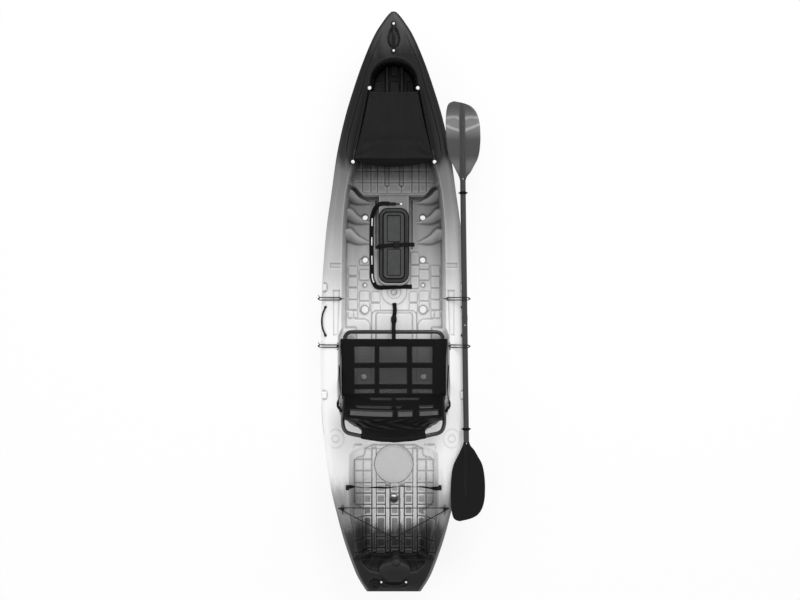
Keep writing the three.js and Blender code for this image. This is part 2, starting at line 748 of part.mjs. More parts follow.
function makeHull() {
  const top = sheerHeight + bowSheerRise + cutOverrun;
  let body = hullBody(0)
    .subtract(well(bowWellOutline, bowWellFloor, 0))
    .subtract(well(cockpitOutline, cockpitFloor, 0))
    .subtract(well(tankOutline, tankFloor, 0));
  const ribLength = tankFrontY - tankRearY;
  const ribs = tankRibShares.map(([across, width]) => {
    const middle = across * tankHalfWidth;
    const half = width * tankHalfWidth / 2;
    const rear = tankRearY + ribLength * 0.08;
    const front = tankFrontY - ribLength * (Math.abs(across) > 0.4 ? 0.08 : 0.37);
    const outline = rectangle(middle - half, middle + half, rear, front);
    return boss(outline, tankFloor, tankFloor + tankRibHeight, 2, 0);
  });
  const dome = turned([
    [0, -domeHeight], [domeDiameter / 2, -domeHeight], [domeDiameter / 2, 0],
    [domeDiameter * 0.42, domeHeight * 0.55], [domeDiameter * 0.24, domeHeight * 0.9], [0, domeHeight],
  ], 18).translate([0, domeY, sheerAt(domeY)]);
  const plateRing = turned([
    [0, -hullWall / 2], [plateRingDiameter / 2, -hullWall / 2], [plateRingDiameter / 2, plateRingHeight],
    [0, plateRingHeight],
  ], 32).translate([0, plateCentreY, tankFloor]);
  const raised = [
    ...raisedForms(0),
    ...[0, 1, 2].flatMap((index) => [footBrace(index, 1), footBrace(index, -1)]),
    ...padRows(footwellColumnShares, footwellRowShares, coverRearY, coverRearY - cockpitFrontY,
      bowWellHalfWidth, bowWellFloor),
    ...padRows(cockpitColumnShares, cockpitRowShares, cockpitFrontY, cockpitFrontY - cockpitRearY,
      cockpitHalfWidth, cockpitFloor),
    ...ribs,
    plateRing,
    dome,
    ...[frontRestY, rearRestY].flatMap((y) => [gunwaleRest(y, 1), gunwaleRest(y, -1)]),
  ];
  body = body.add(union(raised));
  const recess = loft([
    atHeight(grown(bowRecessOutline, -bowHandleThickness), sheerAt(bowHandleRearY) - bowRecessDepth),
    atHeight(bowRecessOutline, top),
  ], fromAbove);
  const hollow = union([
    hullBody(hullWall)
      .subtract(well(bowWellOutline, bowWellFloor, hullWall))
      .subtract(well(cockpitOutline, cockpitFloor, hullWall))
      .subtract(well(tankOutline, tankFloor, hullWall))
      .subtract(slab(
        grown(bowRecessOutline, hullWall), sheerAt(bowHandleRearY) - bowRecessDepth - hullWall, top,
      )),
    ...raisedForms(hullWall),
  ]).subtract(union(scupperTubes(hullWall)));
  const hatchMouth = slab(grown(hatchOutline, -hatchFrameBar), cockpitFloor, bowWellFloor + cutOverrun);
  const plateMouth = rod(plateHoleDiameter / 2, cutOverrun, 32, 'z').translate([0, plateCentreY, tankFloor]);
  const drainMouth = rod(drainBore / 2, cutOverrun, roundSides, 'z')
    .translate([drainX, drainY, sheerAt(drainY)]);
  return body.subtract(hollow).subtract(recess).subtract(union([
    ...scupperTubes(0), hatchMouth, plateMouth, drainMouth,
  ]));
}

const finishes = {
  hull: [0xe4e5e6, 0.55, 0], black: [0x1b1c1d, 0.5, 0],
  mesh: [0x26272a, 0.85, 0], webbing: [0x1f2022, 0.9, 0],
  lid: [0x33353a, 0.6, 0], rubber: [0x151515, 0.8, 0], tube: [0x202224, 0.35, 0.6], white: [0xe9e9e6, 0.4, 0],
  plate: [0xc9cbcd, 0.6, 0], shaft: [0x232427, 0.3, 0.1],
  blade: [0x1d1e20, 0.35, 0], cord: [0x161719, 0.85, 0],
  steel: [0xb5b8bb, 0.3, 1],
};

const kayak = new THREE.Group();

function addPiece(name, solid, finish, parent = kayak) {
  const [color, roughness, metalness] = finishes[finish];
  const material = new THREE.MeshStandardMaterial({ color, roughness, metalness });
  const mesh = new THREE.Mesh(geometryOf(solid), material);
  mesh.name = name;
  parent.add(mesh);
  return mesh;
}

// Hatch
const frameTop = bowWellFloor + fitGap + hatchFrameHeight;
const gasketTop = frameTop + fitGap + gasketHeight;
const lidBottom = gasketTop + fitGap;
const plateauTop = lidBottom + lidPlateHeight + lidPlateauHeight;

function makeHatchFrame() {
  const ring = slab(hatchOutline, bowWellFloor + fitGap, frameTop);
  const opening = grown(hatchOutline, -hatchFrameBar);
  return ring.subtract(slab(opening, bowWellFloor - cutOverrun, frameTop + cutOverrun));
}

function makeGasket() {
  const outer = grown(hatchOutline, -lidMargin - gasketWidth / 4);
  const ring = slab(outer, frameTop + fitGap, gasketTop);
  return ring.subtract(slab(grown(outer, -gasketWidth), frameTop - cutOverrun, frameTop + cutOverrun));
}

function makeLid() {
  const outline = grown(hatchOutline, -lidMargin);
  const plateau = grown(outline, -lidPlateauInset);
  const plug = grown(hatchOutline, -hatchFrameBar - gasketWidth / 2);
  const lid = slab(outline, lidBottom, lidBottom + lidPlateHeight)
    .add(slab(plateau, lidBottom, plateauTop))
    .add(slab(plug, lidBottom - lidPlugDepth, plateauTop - lidPlateauHeight));
  const panels = [-1, 1].map((side) => slab(
    moved(
      roundedOutline(lidPanelWidth, lidPanelLength, lidPlateauInset, 3),
      0, hatchCentreY + side * lidPanelPitch / 2,
    ),
    plateauTop - lidPanelDepth, plateauTop + cutOverrun,
  ));
  return lid.subtract(union(panels));
}

function makeHatchStrap() {
  const over = plateauTop + fitGap + webbingThickness / 2;
  const shoulder = hatchWidth / 2 - lidMargin - lidPlateauInset;
  const edge = hatchWidth / 2 + webbingThickness;
  const outside = consoleHalfWidth + webbingThickness + fitGap;
  const low = over - hatchStrapDrop;
  const points = [
    [-outside - padHeight / 2, hatchStrapY, low], [-outside, hatchStrapY, bowWellFloor + padHeight],
    [-edge, hatchStrapY, frameTop + webbingThickness * 2],
    [-shoulder, hatchStrapY, over], [shoulder, hatchStrapY, over],
    [edge, hatchStrapY, frameTop + webbingThickness * 2],
    [edge + hatchStrapTail, hatchStrapY, frameTop - webbingThickness],
  ];
  return barAlong(points, webbing(webbingWidth, webbingThickness), { across: [0, 1, 0] });
}

function makeBuckle() {
  const bottom = plateauTop + 2 * fitGap + webbingThickness;
  const outline = roundedOutline(buckleLength, buckleWidth, buckleWidth / 4, 3);
  return loft([
    atHeight(outline, 0),
    atHeight(outline, buckleHeight * 0.6),
    atHeight(grown(outline, -buckleHeight / 3), buckleHeight),
  ], fromAbove).translate([hatchBuckleX, hatchStrapY, bottom]);
}

// Bow
function makeBowHandle() {
  const middleY = (bowHandleFrontY + bowHandleRearY) / 2;
  const half = (bowHandleFrontY - bowHandleRearY) / 2;
  const slope = (sheerAt(bowHandleFrontY) - sheerAt(bowHandleRearY)) / (2 * half);
  const lift = bowHandleThickness / 2 + bowHandleSeat;
  const place = (share, rise) => [0, middleY + share * half,
    sheerAt(middleY) + slope * share * half + lift + rise * bowHandleRise];
  const points = [[-1.09, 0], [-0.84, 0], [-0.6, 0.5], [-0.3, 0.9], [0, 1], [0.3, 0.9], [0.6, 0.5], [0.84, 0],
    [1.09, 0]].map(([share, rise]) => place(share, rise));
  const section = [
    [-0.5, -0.25], [-0.3, -0.5], [0.3, -0.5], [0.5, -0.25], [0.5, 0.25], [0.3, 0.5], [-0.3, 0.5],
    [-0.5, 0.25]].map(([u, v]) => [u * bowHandleWidth, v * bowHandleThickness]);
  return barAlong(points, section, { across: [1, 0, 0] });
}

const domedHead = (diameter, height) => turned([
  [0, 0], [diameter / 2, 0], [diameter / 2, height * 0.4], [diameter * 0.36, height * 0.85], [0, height],
], 12);

function addBow() {
  addPiece('bow_handle', makeBowHandle(), 'black');
  const rise = sheerAt(bowHandleFrontY) - sheerAt(bowHandleRearY);
  const slope = Math.atan2(rise, bowHandleFrontY - bowHandleRearY);
  for (const [end, y] of [['front', bowHandleFrontY], ['rear', bowHandleRearY]]) {
    const screw = addPiece(`bow_handle_screw_${end}`, domedHead(screwHeadDiameter, screwHeadHeight), 'white');
    const chord = sheerAt((bowHandleFrontY + bowHandleRearY) / 2)
      + Math.tan(slope) * (y - (bowHandleFrontY + bowHandleRearY) / 2);
    screw.position.set(0, y, chord + (bowHandleThickness + bowHandleSeat + 2 * fitGap) / Math.cos(slope));
    screw.rotation.x = slope;
  }
  addPiece('bow_cover', makeCover(), 'mesh');
  for (const [name, side] of [['right', 1], ['left', -1]]) {
    addPiece(`bow_cover_cord_${name}`, makeCoverCord(side), 'cord');
    for (const [end, x, y] of [['front', studFrontX, studFrontY], ['rear', studRearX, studRearY]]) {
      const stud = addPiece(`bow_cover_stud_${end}_${name}`, domedHead(studDiameter, studHeight), 'white');
      stud.position.set(side * x, y, sheerAt(y) + 2 * fitGap);
      stud.rotation.x = Math.atan2(sheerAt(y + studDiameter) - sheerAt(y - studDiameter), 2 * studDiameter);
    }
  }
}

// The cover spans the bow well from side to side; it sags between its edges and is drawn to its corners
function makeCover() {
  const across = 12;
  const along = 10;
  const lift = padHeight / 2;
  const top = [];
  for (let row = 0; row <= along; row++) {
    const share = row / along;
    const y = coverFrontY + share * (coverRearY - coverFrontY);
    const half = coverFrontHalfWidth + share * (coverRearHalfWidth - coverFrontHalfWidth);
    for (let column = 0; column <= across; column++) {
      const side = 2 * column / across - 1;
      const belly = (1 - side ** 2) * (coverFrontBellyShare + (1 - coverFrontBellyShare) * share ** 2);
      const fold = Math.cos(coverFoldCount * Math.PI * side) * share ** 3 * coverThickness;
      const z = sheerAt(y) + lift + coverThickness - coverSag * belly + fold;
      top.push([side * half, y + (row === along ? (1 - side ** 2) * -coverSag : 0), z]);
    }
  }
  const bottom = top.map(([x, y, z]) => [x, y, z - coverThickness]);
  return sheetSolid(top, bottom, across, along);
}

// A closed sheet between an upper and a lower grid of points
function sheetSolid(top, bottom, across, along) {
  const width = across + 1;
  const offset = top.length;
  const triangles = [];
  for (let row = 0; row < along; row++) {
    for (let column = 0; column < across; column++) {
      const a = row * width + column;
      const [b, c, d] = [a + 1, a + width + 1, a + width];
      triangles.push(a, b, c, a, c, d);
      triangles.push(a + offset, c + offset, b + offset, a + offset, d + offset, c + offset);
    }
  }
  const rim = [];
  for (let column = 0; column < across; column++) rim.push(column);
  for (let row = 0; row < along; row++) rim.push(row * width + across);
  for (let column = across; column > 0; column--) rim.push(along * width + column);
  for (let row = along; row > 0; row--) rim.push(row * width);
  rim.forEach((a, index) => {
    const b = rim[(index + 1) % rim.length];
    triangles.push(b, a, a + offset, b, a + offset, b + offset);
  });
  return solidOf([...top, ...bottom], triangles);
}

function makeCoverCord(side) {
  const radius = cordDiameter / 2;
  const points = [0, 0.25, 0.5, 0.75, 1].map((share) => {
    const y = studFrontY + share * (studRearY - studFrontY);
    const x = studFrontX + share * (studRearX - studFrontX) + radius + coverCordInset / 2;
    const bowed = Math.sin(Math.PI * share) * coverCordInset;
    return [side * (x - bowed + studDiameter / 2), y, deckAt(x, y) + radius + fitGap * 3];
  });
  return tubeAlong(points, radius, 8, 3);
}

// Seat
const seatRailZ = ledgeTop + seatFootHeight + 2 * fitGap + seatRailRadius;
const sideStrapX = cockpitHalfWidth - sideStrapGap
  - wellDraft * (sheerHeight - seatRailZ) / (sheerHeight - cockpitFloor);
const seatHingeZ = seatRailZ + seatHingeRise;

function arcPoints(centreX, centreY, radius, from, to, steps) {
  return Array.from({ length: steps + 1 }, (_, index) => {
    const angle = THREE.MathUtils.degToRad(from + (to - from) * index / steps);
    return [centreX + radius * Math.cos(angle), centreY + radius * Math.sin(angle)];
  });
}

function makeSeatFrame() {
  const x = seatRailX - seatCornerRadius;
  const front = seatFrontBarY - seatCornerRadius;
  const rear = seatRearBarY + seatCornerRadius;
  const path = [
    ...arcPoints(x, front, seatCornerRadius, 0, 90, 4),
    ...arcPoints(-x, front, seatCornerRadius, 90, 180, 4),
    ...arcPoints(-x, rear, seatCornerRadius, 180, 270, 4),
    ...arcPoints(x, rear, seatCornerRadius, 270, 360, 4),
  ];
  return barAlong(atHeight(path, seatRailZ), circle(seatRailRadius, 10), { closed: true });
}

// The back frame in its own plane: the hinge line is at zero and the top bar at the back's length
function makeBackFrame() {
  const radius = seatBackCornerRadius;
  const top = seatBackLength - seatRailRadius;
  const path = [
    [seatRailX, -seatRailRadius],
    ...arcPoints(seatRailX - radius, top - radius, radius, 0, 90, 6),
    ...arcPoints(radius - seatRailX, top - radius, radius, 90, 180, 6),
    [-seatRailX, -seatRailRadius],
  ];
  const frame = barAlong(atHeight(path, 0), circle(seatRailRadius, 10));
  const hole = rod(hingePinRadius + fitGap, hullBeam, 12, 'x');
  return frame.subtract(hole);
}

function makeBackFabric() {
  const half = seatRailX + seatRailRadius;
  const top = seatBackLength - 2 * seatRailRadius - fitGap * 2;
  const side = [
    [half, seatBackFabricStart], [half, seatBackShoulder],
    [half * 0.94, seatBackShoulder + (top - seatBackShoulder) * 0.3],
    [seatBackTopHalfWidth * 1.18, seatBackShoulder + (top - seatBackShoulder) * 0.68],
    [seatBackTopHalfWidth, top],
  ];
  const outline = [...side, ...side.map(([x, y]) => [-x, y]).reverse()];
  const front = seatRailRadius + fitGap;
  return slab(outline, front, front + seatBackThickness);
}

function makePan() {
  const rows = [0, 0.06, 0.3, 0.6, 0.9, 1];
  const over = seatRailRadius + fitGap;
  const inner = seatRailX + over;
  const skirtEnd = seatRailZ + seatRailRadius - seatPanSkirt;
  const rings = rows.map((share) => {
    const y = seatPanFrontY + share * (seatPanRearY - seatPanFrontY);
    const sag = seatPanSag * Math.sin(Math.PI * Math.min(1, Math.max(seatPanSagStartShare, share))) ** 0.5;
    const lower = [
      [inner, skirtEnd], [inner, seatRailZ + over], [seatRailX - seatRailRadius, seatRailZ + over],
      [seatRailX * 0.55, seatRailZ + over - sag * 0.8]];
    const upper = [[seatPanHalfWidth, skirtEnd], [seatPanHalfWidth, seatRailZ + seatRailRadius],
      [inner, seatRailZ + over + seatPanThickness * 1.4],
      [seatRailX - seatRailRadius, seatRailZ + over + seatPanThickness],
      [seatRailX * 0.55, seatRailZ + over + seatPanThickness - sag * 0.8]];
    const right = (points) => points.map(([x, z]) => [x, y, z]);
    const left = (points) => points.map(([x, z]) => [-x, y, z]).reverse();
    const middle = seatRailZ + over - sag;
    return [...right(upper), [0, y, middle + seatPanThickness], ...left(upper),
      ...right(lower).map(([x, , z]) => [-x, y, z]), [0, y, middle], ...right(lower).reverse()];
  });
  return loft(rings, fromAhead);
}

// A clevis that sits on the seat rail and holds the back frame's tube between its ears
function makeHingePlate() {
  const inner = seatRailRadius + fitGap;
  const outer = inner + hingeEarThickness;
  const bottom = -seatHingeRise + seatRailRadius + fitGap;
  const floor = bottom + hingeEarThickness;
  const top = hingePinRadius * 2.2;
  const section = [
    [-outer, bottom], [outer, bottom], [outer, top], [inner, top], [inner, floor], [-inner, floor],
    [-inner, top], [-outer, top]];
  const shape = new THREE.Shape(section.map(([x, z]) => new THREE.Vector2(x, z)));
  const geometry = new THREE.ExtrudeGeometry(shape, { depth: hingeEarLength, bevelEnabled: false })
    .translate(0, 0, -hingeEarLength / 2).rotateX(Math.PI / 2);
  return manifoldOf(geometry).subtract(rod(hingePinRadius + fitGap, 4 * outer, 12, 'x'));
}

function makeHingePin() {
  const reach = seatRailRadius + hingeEarThickness + 2 * fitGap;
  const head = hingePinRadius;
  return union([
    rod(hingePinRadius, 2 * reach + head, 12, 'x'),
    rod(hingePinRadius * 1.7, head, 12, 'x').translate([reach + head / 2, 0, 0]),
    rod(hingePinRadius * 1.7, head, 12, 'x').translate([-reach - head / 2, 0, 0]),
  ]);
}

// The side strap runs outside the frame from the seat rail to the back frame
function makeSideStrap(side) {
  const recline = THREE.MathUtils.degToRad(seatBackRecline);
  const endY = seatHingeY - Math.sin(recline) * sideStrapAlongBack;
  const endZ = seatHingeZ + Math.cos(recline) * sideStrapAlongBack;
  const startZ = seatRailZ + seatRailRadius + webbingWidth / 2;
  const at = (share, x) => [side * x, sideStrapFrontY + share * (endY - sideStrapFrontY),
    startZ + share * (endZ - startZ)];
  const tubeSide = seatRailX + seatRailRadius + fitGap + webbingThickness / 2;
  const points = [
    at(0, sideStrapX), at(0.3, sideStrapX), at(0.6, sideStrapX), at(0.86, sideStrapX - padHeight),
    at(1, tubeSide)];
  const path = points.map((point) => new THREE.Vector3(...point));
  const rise = path[1].clone().sub(path[0]).normalize();
  const upright = new THREE.Vector3(0, -rise.z, rise.y).toArray();
  const strap = barAlong(points, webbing(webbingWidth, webbingThickness), { across: upright });
  const buckle = barAlong([at(0.42, sideStrapX), at(0.62, sideStrapX)],
    webbing(buckleWidth, webbingThickness + 2 * sideBuckleThickness / 3), { across: upright });
  return strap.add(buckle);
}

function makeTether() {
  const studTop = midPadTop + fitGap;
  const over = seatRailZ + seatRailRadius + fitGap + webbingThickness / 2;
  const points = [
    [0, tetherStudY - studDiameter, cockpitFloor + padHeight + webbingThickness],
    [0, midPadFrontY + webbingWidth / 2, cockpitFloor + padHeight + webbingThickness],
    [0, midPadFrontY + webbingThickness, studTop + webbingThickness * 1.5],
    [0, tetherBuckleY - webbingWidth, studTop + webbingThickness],
    [0, seatFrontBarY + seatRailRadius * 1.7, over - seatRailRadius / 2],
    [0, seatFrontBarY + seatRailRadius * 0.7, over],
    [0, seatFrontBarY, over], [0, seatPanFrontY + fitGap + webbingThickness, over],
  ];
  return barAlong(points, webbing(webbingWidth, webbingThickness), { across: [1, 0, 0] });
}

function addSeat() {
  addPiece('seat_frame', makeSeatFrame(), 'tube');
  addPiece('seat_pan', makePan(), 'mesh');
  const foot = slab(roundedOutline(seatFootWidth, seatFootLength, seatFootWidth / 5, 2), 0, seatFootHeight);
  for (const [name, side] of [['right', 1], ['left', -1]]) {
    for (const [end, y] of [['front', seatFootFrontY], ['rear', seatFootRearY]]) {
      const padOnLedge = addPiece(`seat_foot_${end}_${name}`, foot, 'rubber');
      padOnLedge.position.set(side * seatRailX, y, ledgeTop + fitGap);
    }
    addPiece(`seat_hinge_plate_${name}`, makeHingePlate(), 'black')
      .position.set(side * seatRailX, seatHingeY, seatHingeZ);
    addPiece(`seat_hinge_pin_${name}`, makeHingePin(), 'steel')
      .position.set(side * seatRailX, seatHingeY, seatHingeZ);
    addPiece(`seat_side_strap_${name}`, makeSideStrap(side), 'webbing');
  }
  const back = new THREE.Group();
  back.position.set(0, seatHingeY, seatHingeZ);
  back.rotation.x = Math.PI / 2 + THREE.MathUtils.degToRad(seatBackRecline);
  kayak.add(back);
  addPiece('seat_back_frame', makeBackFrame(), 'tube', back);
  const fabric = addPiece('seat_back', makeBackFabric(), 'mesh', back);
  fabric.rotation.y = Math.PI;
  addPiece('seat_tether', makeTether(), 'webbing');
  const tetherBuckle = addPiece('seat_tether_buckle', loft([
    atHeight(roundedOutline(buckleWidth, buckleLength, buckleWidth / 4, 3), 0),
    atHeight(roundedOutline(buckleWidth * 0.9, buckleLength * 0.94, buckleWidth / 5, 3), buckleHeight),
  ], fromAbove), 'black');
  const buckleZ = midPadTop + 2 * fitGap + 2 * webbingThickness;
  tetherBuckle.position.set(0, tetherBuckleY + webbingWidth / 4, buckleZ);
  addPiece('seat_tether_stud', domedHead(studDiameter, studHeight), 'black')
    .position.set(0, tetherStudY, cockpitFloor + fitGap);
}

// Loose strap on the footwell floor
function addFloorStrap() {
  const onConsole = bowWellFloor + fitGap + webbingThickness / 2;
  const onFloor = cockpitFloor + padHeight + fitGap + webbingThickness / 2;
  const consoleSide = -consoleHalfWidth - webbingThickness;
  const radius = webbingWidth;
  const rearArc = [30, 60].map((degrees) => {
    const angle = THREE.MathUtils.degToRad(degrees);
    const [turnX, turnY] = [radius * (1 - Math.cos(angle)), radius * (1 - Math.sin(angle))];
    return [floorStrapX + turnX, floorStrapRearY + turnY, onFloor];
  });
  const points = [
    [floorStrapClipX - buckleLength / 2, floorStudY, onConsole],
    [consoleSide + webbingWidth, floorStudY, onConsole],
    [consoleSide - padHeight, floorStudY - webbingWidth / 4, onConsole],
    [floorStrapX + webbingWidth / 8, floorStudY - webbingWidth * 1.3, onFloor + padHeight * 3],
    [floorStrapX, floorStudY - webbingWidth * 3, onFloor],
    [floorStrapX, hatchCentreY, onFloor],
    [floorStrapX, floorStrapRearY + radius * 1.4, onFloor],
    ...rearArc,
    [floorStrapX + radius * 1.4, floorStrapRearY, onFloor],
    [floorStrapEndX, floorStrapRearY, onFloor],
  ];
  addPiece('floor_strap', barAlong(points, webbing(webbingWidth, webbingThickness)), 'webbing');
  const clipOutline = roundedOutline(buckleLength - 2 * fitGap, buckleWidth * 0.6, buckleWidth / 5, 3);
  const clip = slab(clipOutline, 0, buckleHeight);
  const clipPiece = addPiece('floor_strap_clip', clip, 'black');
  clipPiece.position.set(floorStrapClipX, floorStudY, bowWellFloor + fitGap);
  addPiece('floor_strap_stud', domedHead(studDiameter * 0.7, studHeight), 'white')
    .position.set(floorStudX, floorStudY, bowWellFloor + fitGap);
}

// Paddle, laid out along Y about its own middle and turned as a whole
function makeShaftBow() {
  const tube = rod(shaftDiameter / 2, shaftBowEnd - shaftJointY - fitGap, roundSides, 'y')
    .translate([0, (shaftBowEnd + shaftJointY + fitGap) / 2, 0]);
  return tube.subtract(rod(shaftBore / 2, hullLength, roundSides, 'y'));
}

function makeShaftStern() {
  const tube = rod(shaftDiameter / 2, shaftJointY - shaftSternEnd, roundSides, 'y')
    .translate([0, (shaftSternEnd + shaftJointY) / 2, 0]);
  const ferrule = rod(ferruleDiameter / 2, 2 * ferruleLength - cordDiameter, roundSides, 'y')
    .translate([0, shaftJointY - cordDiameter, 0]);
  const buttonHole = rod(paddleButtonDiameter / 2 + fitGap, shaftDiameter / 2, 10, 'z')
    .translate([0, paddleButtonY, shaftDiameter / 2]);
  return tube.add(ferrule).subtract(buttonHole).subtract(rod(ferruleBore / 2, hullLength, roundSides, 'y'));
}

// A blade from its neck to its tip; the wider edge is on the given side
function makeBlade(neckY, tipY, wideSide) {
  const rings = bladeShares.map(([along, wide, narrow]) => {
    const y = neckY + along * (tipY - neckY);
    const thick = bladeThickness * (1 - bladeTipThinningShare * along) / 2;
    const neckRise = bladeSpineDiameter * bladeSpineRiseShare;
    const falling = thick + neckRise * (1 - along) ** 1.5 * bladeSpineKeptShare;
    const spine = along < bladeNeckShare ? neckRise : falling;
    const spineHalf = Math.min(
      bladeWidth * narrow * bladeSpineReachShare, neckRise * (1 - bladeSpineReachShare * along),
    );
    const [right, left] = wideSide > 0 ? [wide, narrow] : [narrow, wide];
    return [
      [-left * bladeWidth, y, 0], [-spineHalf, y, -thick], [0, y, -spine * 0.6], [spineHalf, y, -thick],
      [right * bladeWidth, y, 0], [spineHalf, y, thick], [0, y, spine], [-spineHalf, y, thick],
    ];
  });
  return loft(rings, fromAhead);
}

function makeDripRing() {
  const bore = shaftDiameter / 2 / Math.cos(Math.PI / roundSides) + fitGap;
  const cuff = bore + 3;
  const half = dripRingLength / 2;
  return turned([
    [bore, -half], [cuff, -half], [cuff, -half * 0.3], [dripRingDiameter / 2, -half * 0.1],
    [dripRingDiameter / 2, half * 0.2], [cuff, half * 0.4], [cuff, half], [bore, half], [bore, -half],
  ], roundSides).rotate([90, 0, 0]);
}

function addPaddle() {
  const paddle = new THREE.Group();
  paddle.position.set(paddleX, 0, paddleAxisZ);
  paddle.rotation.z = THREE.MathUtils.degToRad(paddleYaw);
  kayak.add(paddle);
  const button = turned([
    [0, -paddleButtonHeight * 2], [paddleButtonDiameter / 2, -paddleButtonHeight * 2],
    [paddleButtonDiameter / 2, paddleButtonHeight * 0.5], [paddleButtonDiameter * 0.3, paddleButtonHeight],
    [0, paddleButtonHeight],
  ], 12);
  addPiece('paddle_shaft_bow', makeShaftBow(), 'shaft', paddle);
  addPiece('paddle_shaft_stern', makeShaftStern(), 'shaft', paddle);
  addPiece('paddle_blade_bow', makeBlade(shaftBowEnd + fitGap, paddleBowEnd, -1), 'blade', paddle);
  addPiece('paddle_blade_stern', makeBlade(shaftSternEnd - fitGap, paddleSternEnd, 1), 'blade', paddle);
  addPiece('drip_ring_bow', makeDripRing(), 'rubber', paddle).position.set(0, dripRingBowY, 0);
  addPiece('drip_ring_stern', makeDripRing(), 'rubber', paddle).position.set(0, dripRingSternY, 0);
  addPiece('paddle_button', button, 'steel', paddle)
    .position.set(0, paddleButtonY, shaftDiameter / 2 + paddleButtonHeight * 0.2);
}

// A bungee loop from its inner anchor over the gunwale to the hook outside
function makeKeeper(y, innerX, side) {
  const radius = cordDiameter / 2;
  const onDeck = sheerHeight + radius + 2 * fitGap;
  const shaftX = paddleX - Math.tan(THREE.MathUtils.degToRad(paddleYaw)) * y;
  const clear = shaftDiameter / 2 + radius + 4 * fitGap;
  const hookX = hullBeam / 2 + radius * 2;
  const over = side > 0
    ? [150, 110, 70, 30].map((degrees) => {
      const angle = THREE.MathUtils.degToRad(degrees);
      return [shaftX + clear * Math.cos(angle), paddleAxisZ + clear * Math.sin(angle)];
    })
    : [[restInnerX, onDeck], [restInnerX + gunwaleBandWidth / 2, onDeck - radius]];
  const hookZ = side > 0 ? paddleAxisZ - radius * 2 : sheerHeight - radius * 3;
  const line = [[innerX, onDeck], [innerX + cordDiameter * 2, onDeck], ...over, [hookX, hookZ]];
  const out = line.map(([x, z]) => [side * x, y + keeperSpread / 2, z]);
  const home = line.map(([x, z]) => [side * x, y - keeperSpread / 2, z]).reverse();
  const turn = [side * (hookX + radius), y, hookZ - radius];
  const cord = tubeAlong([...out, turn, ...home], radius, 6, 2);
  const hook = turned([
    [0, -keeperHookDiameter / 2], [keeperHookDiameter * 0.35, -keeperHookDiameter * 0.35],
    [keeperHookDiameter / 2, 0],
    [keeperHookDiameter * 0.35, keeperHookDiameter * 0.35],
    [0, keeperHookDiameter / 2],
  ], 10).translate([side * (hookX + radius + keeperHookDiameter / 4), y, hookZ - radius]);
  return cord.add(hook);
}

// A carrying handle of round bar, bowed outwards and lying on the gunwale band
function makeSideHandle(side) {
  const bow = [[0, 0], [0.08, 0.2], [0.25, 0.75], [0.5, 1], [0.75, 0.75], [0.92, 0.2], [1, 0]];
  const points = bow.map(([along, out]) => {
    const x = sideHandleX + out * sideHandleBow;
    const y = sideHandleFrontY - along * sideHandleLength;
    return [side * x, y, deckAt(x, y) + sideHandleRadius * 1.8 + fitGap];
  });
  return tubeAlong(points, sideHandleRadius, 8, 3);
}

function makeSternHandle() {
  const bow = [[-1, 0], [-0.85, 0.3], [-0.5, 0.85], [0, 1], [0.5, 0.85], [0.85, 0.3], [1, 0]];
  const points = bow.map(([across, out]) => {
    const y = sternHandleY - out * sternHandleBow;
    return [across * sternHandleSpan / 2, y, restingOn(y, sternHandleRadius) + sternHandleRadius];
  });
  return tubeAlong(points, sternHandleRadius, 8, 3);
}

function addHandles() {
  addPiece('side_handle_right', makeSideHandle(1), 'black');
  addPiece('side_handle_left', makeSideHandle(-1), 'black');
  addPiece('stern_handle', makeSternHandle(), 'black');
}

// Plates and plugs that close the hull
function addClosures() {
  const plug = turned([
    [0, -drainFlangeHeight * 2], [drainBore / 2 - 2 * fitGap, -drainFlangeHeight * 2],
    [drainBore / 2 - 2 * fitGap, 0],
    [drainFlangeDiameter / 2, 0],
    [drainFlangeDiameter / 2, drainFlangeHeight],
    [drainKnobDiameter / 2, drainFlangeHeight], [drainKnobDiameter / 2, drainFlangeHeight + drainKnobHeight],
    [0, drainFlangeHeight + drainKnobHeight],
  ], 20);
  const plugZ = sheerAt(drainY - drainFlangeDiameter / 2) + fitGap;
  addPiece('drain_plug', plug, 'black').position.set(drainX, drainY, plugZ);
  const radius = plateHoleDiameter / 2 - 2 * fitGap;
  const plate = turned([
    [0, -platePlugDepth], [radius, -platePlugDepth], [radius, 0], [plateDiameter / 2, 0],
    [plateDiameter / 2, plateThickness * 0.6], [plateDiameter * 0.47, plateThickness], [0, plateThickness],
  ], 32);
  addPiece('deck_plate', plate, 'plate').position.set(0, plateCentreY, tankFloor + plateRingHeight + fitGap);
}

const knob = () => turned([
  [0, 0], [knobHeadDiameter / 2, 0],
  [knobHeadDiameter / 2, knobHeight * 0.2], [knobNeckDiameter / 2, knobHeight * 0.3],
  [knobNeckDiameter / 2, knobHeight * 0.75], [knobHeadDiameter / 2, knobHeight * 0.8],
  [knobHeadDiameter * 0.4, knobHeight], [0, knobHeight],
], 12);

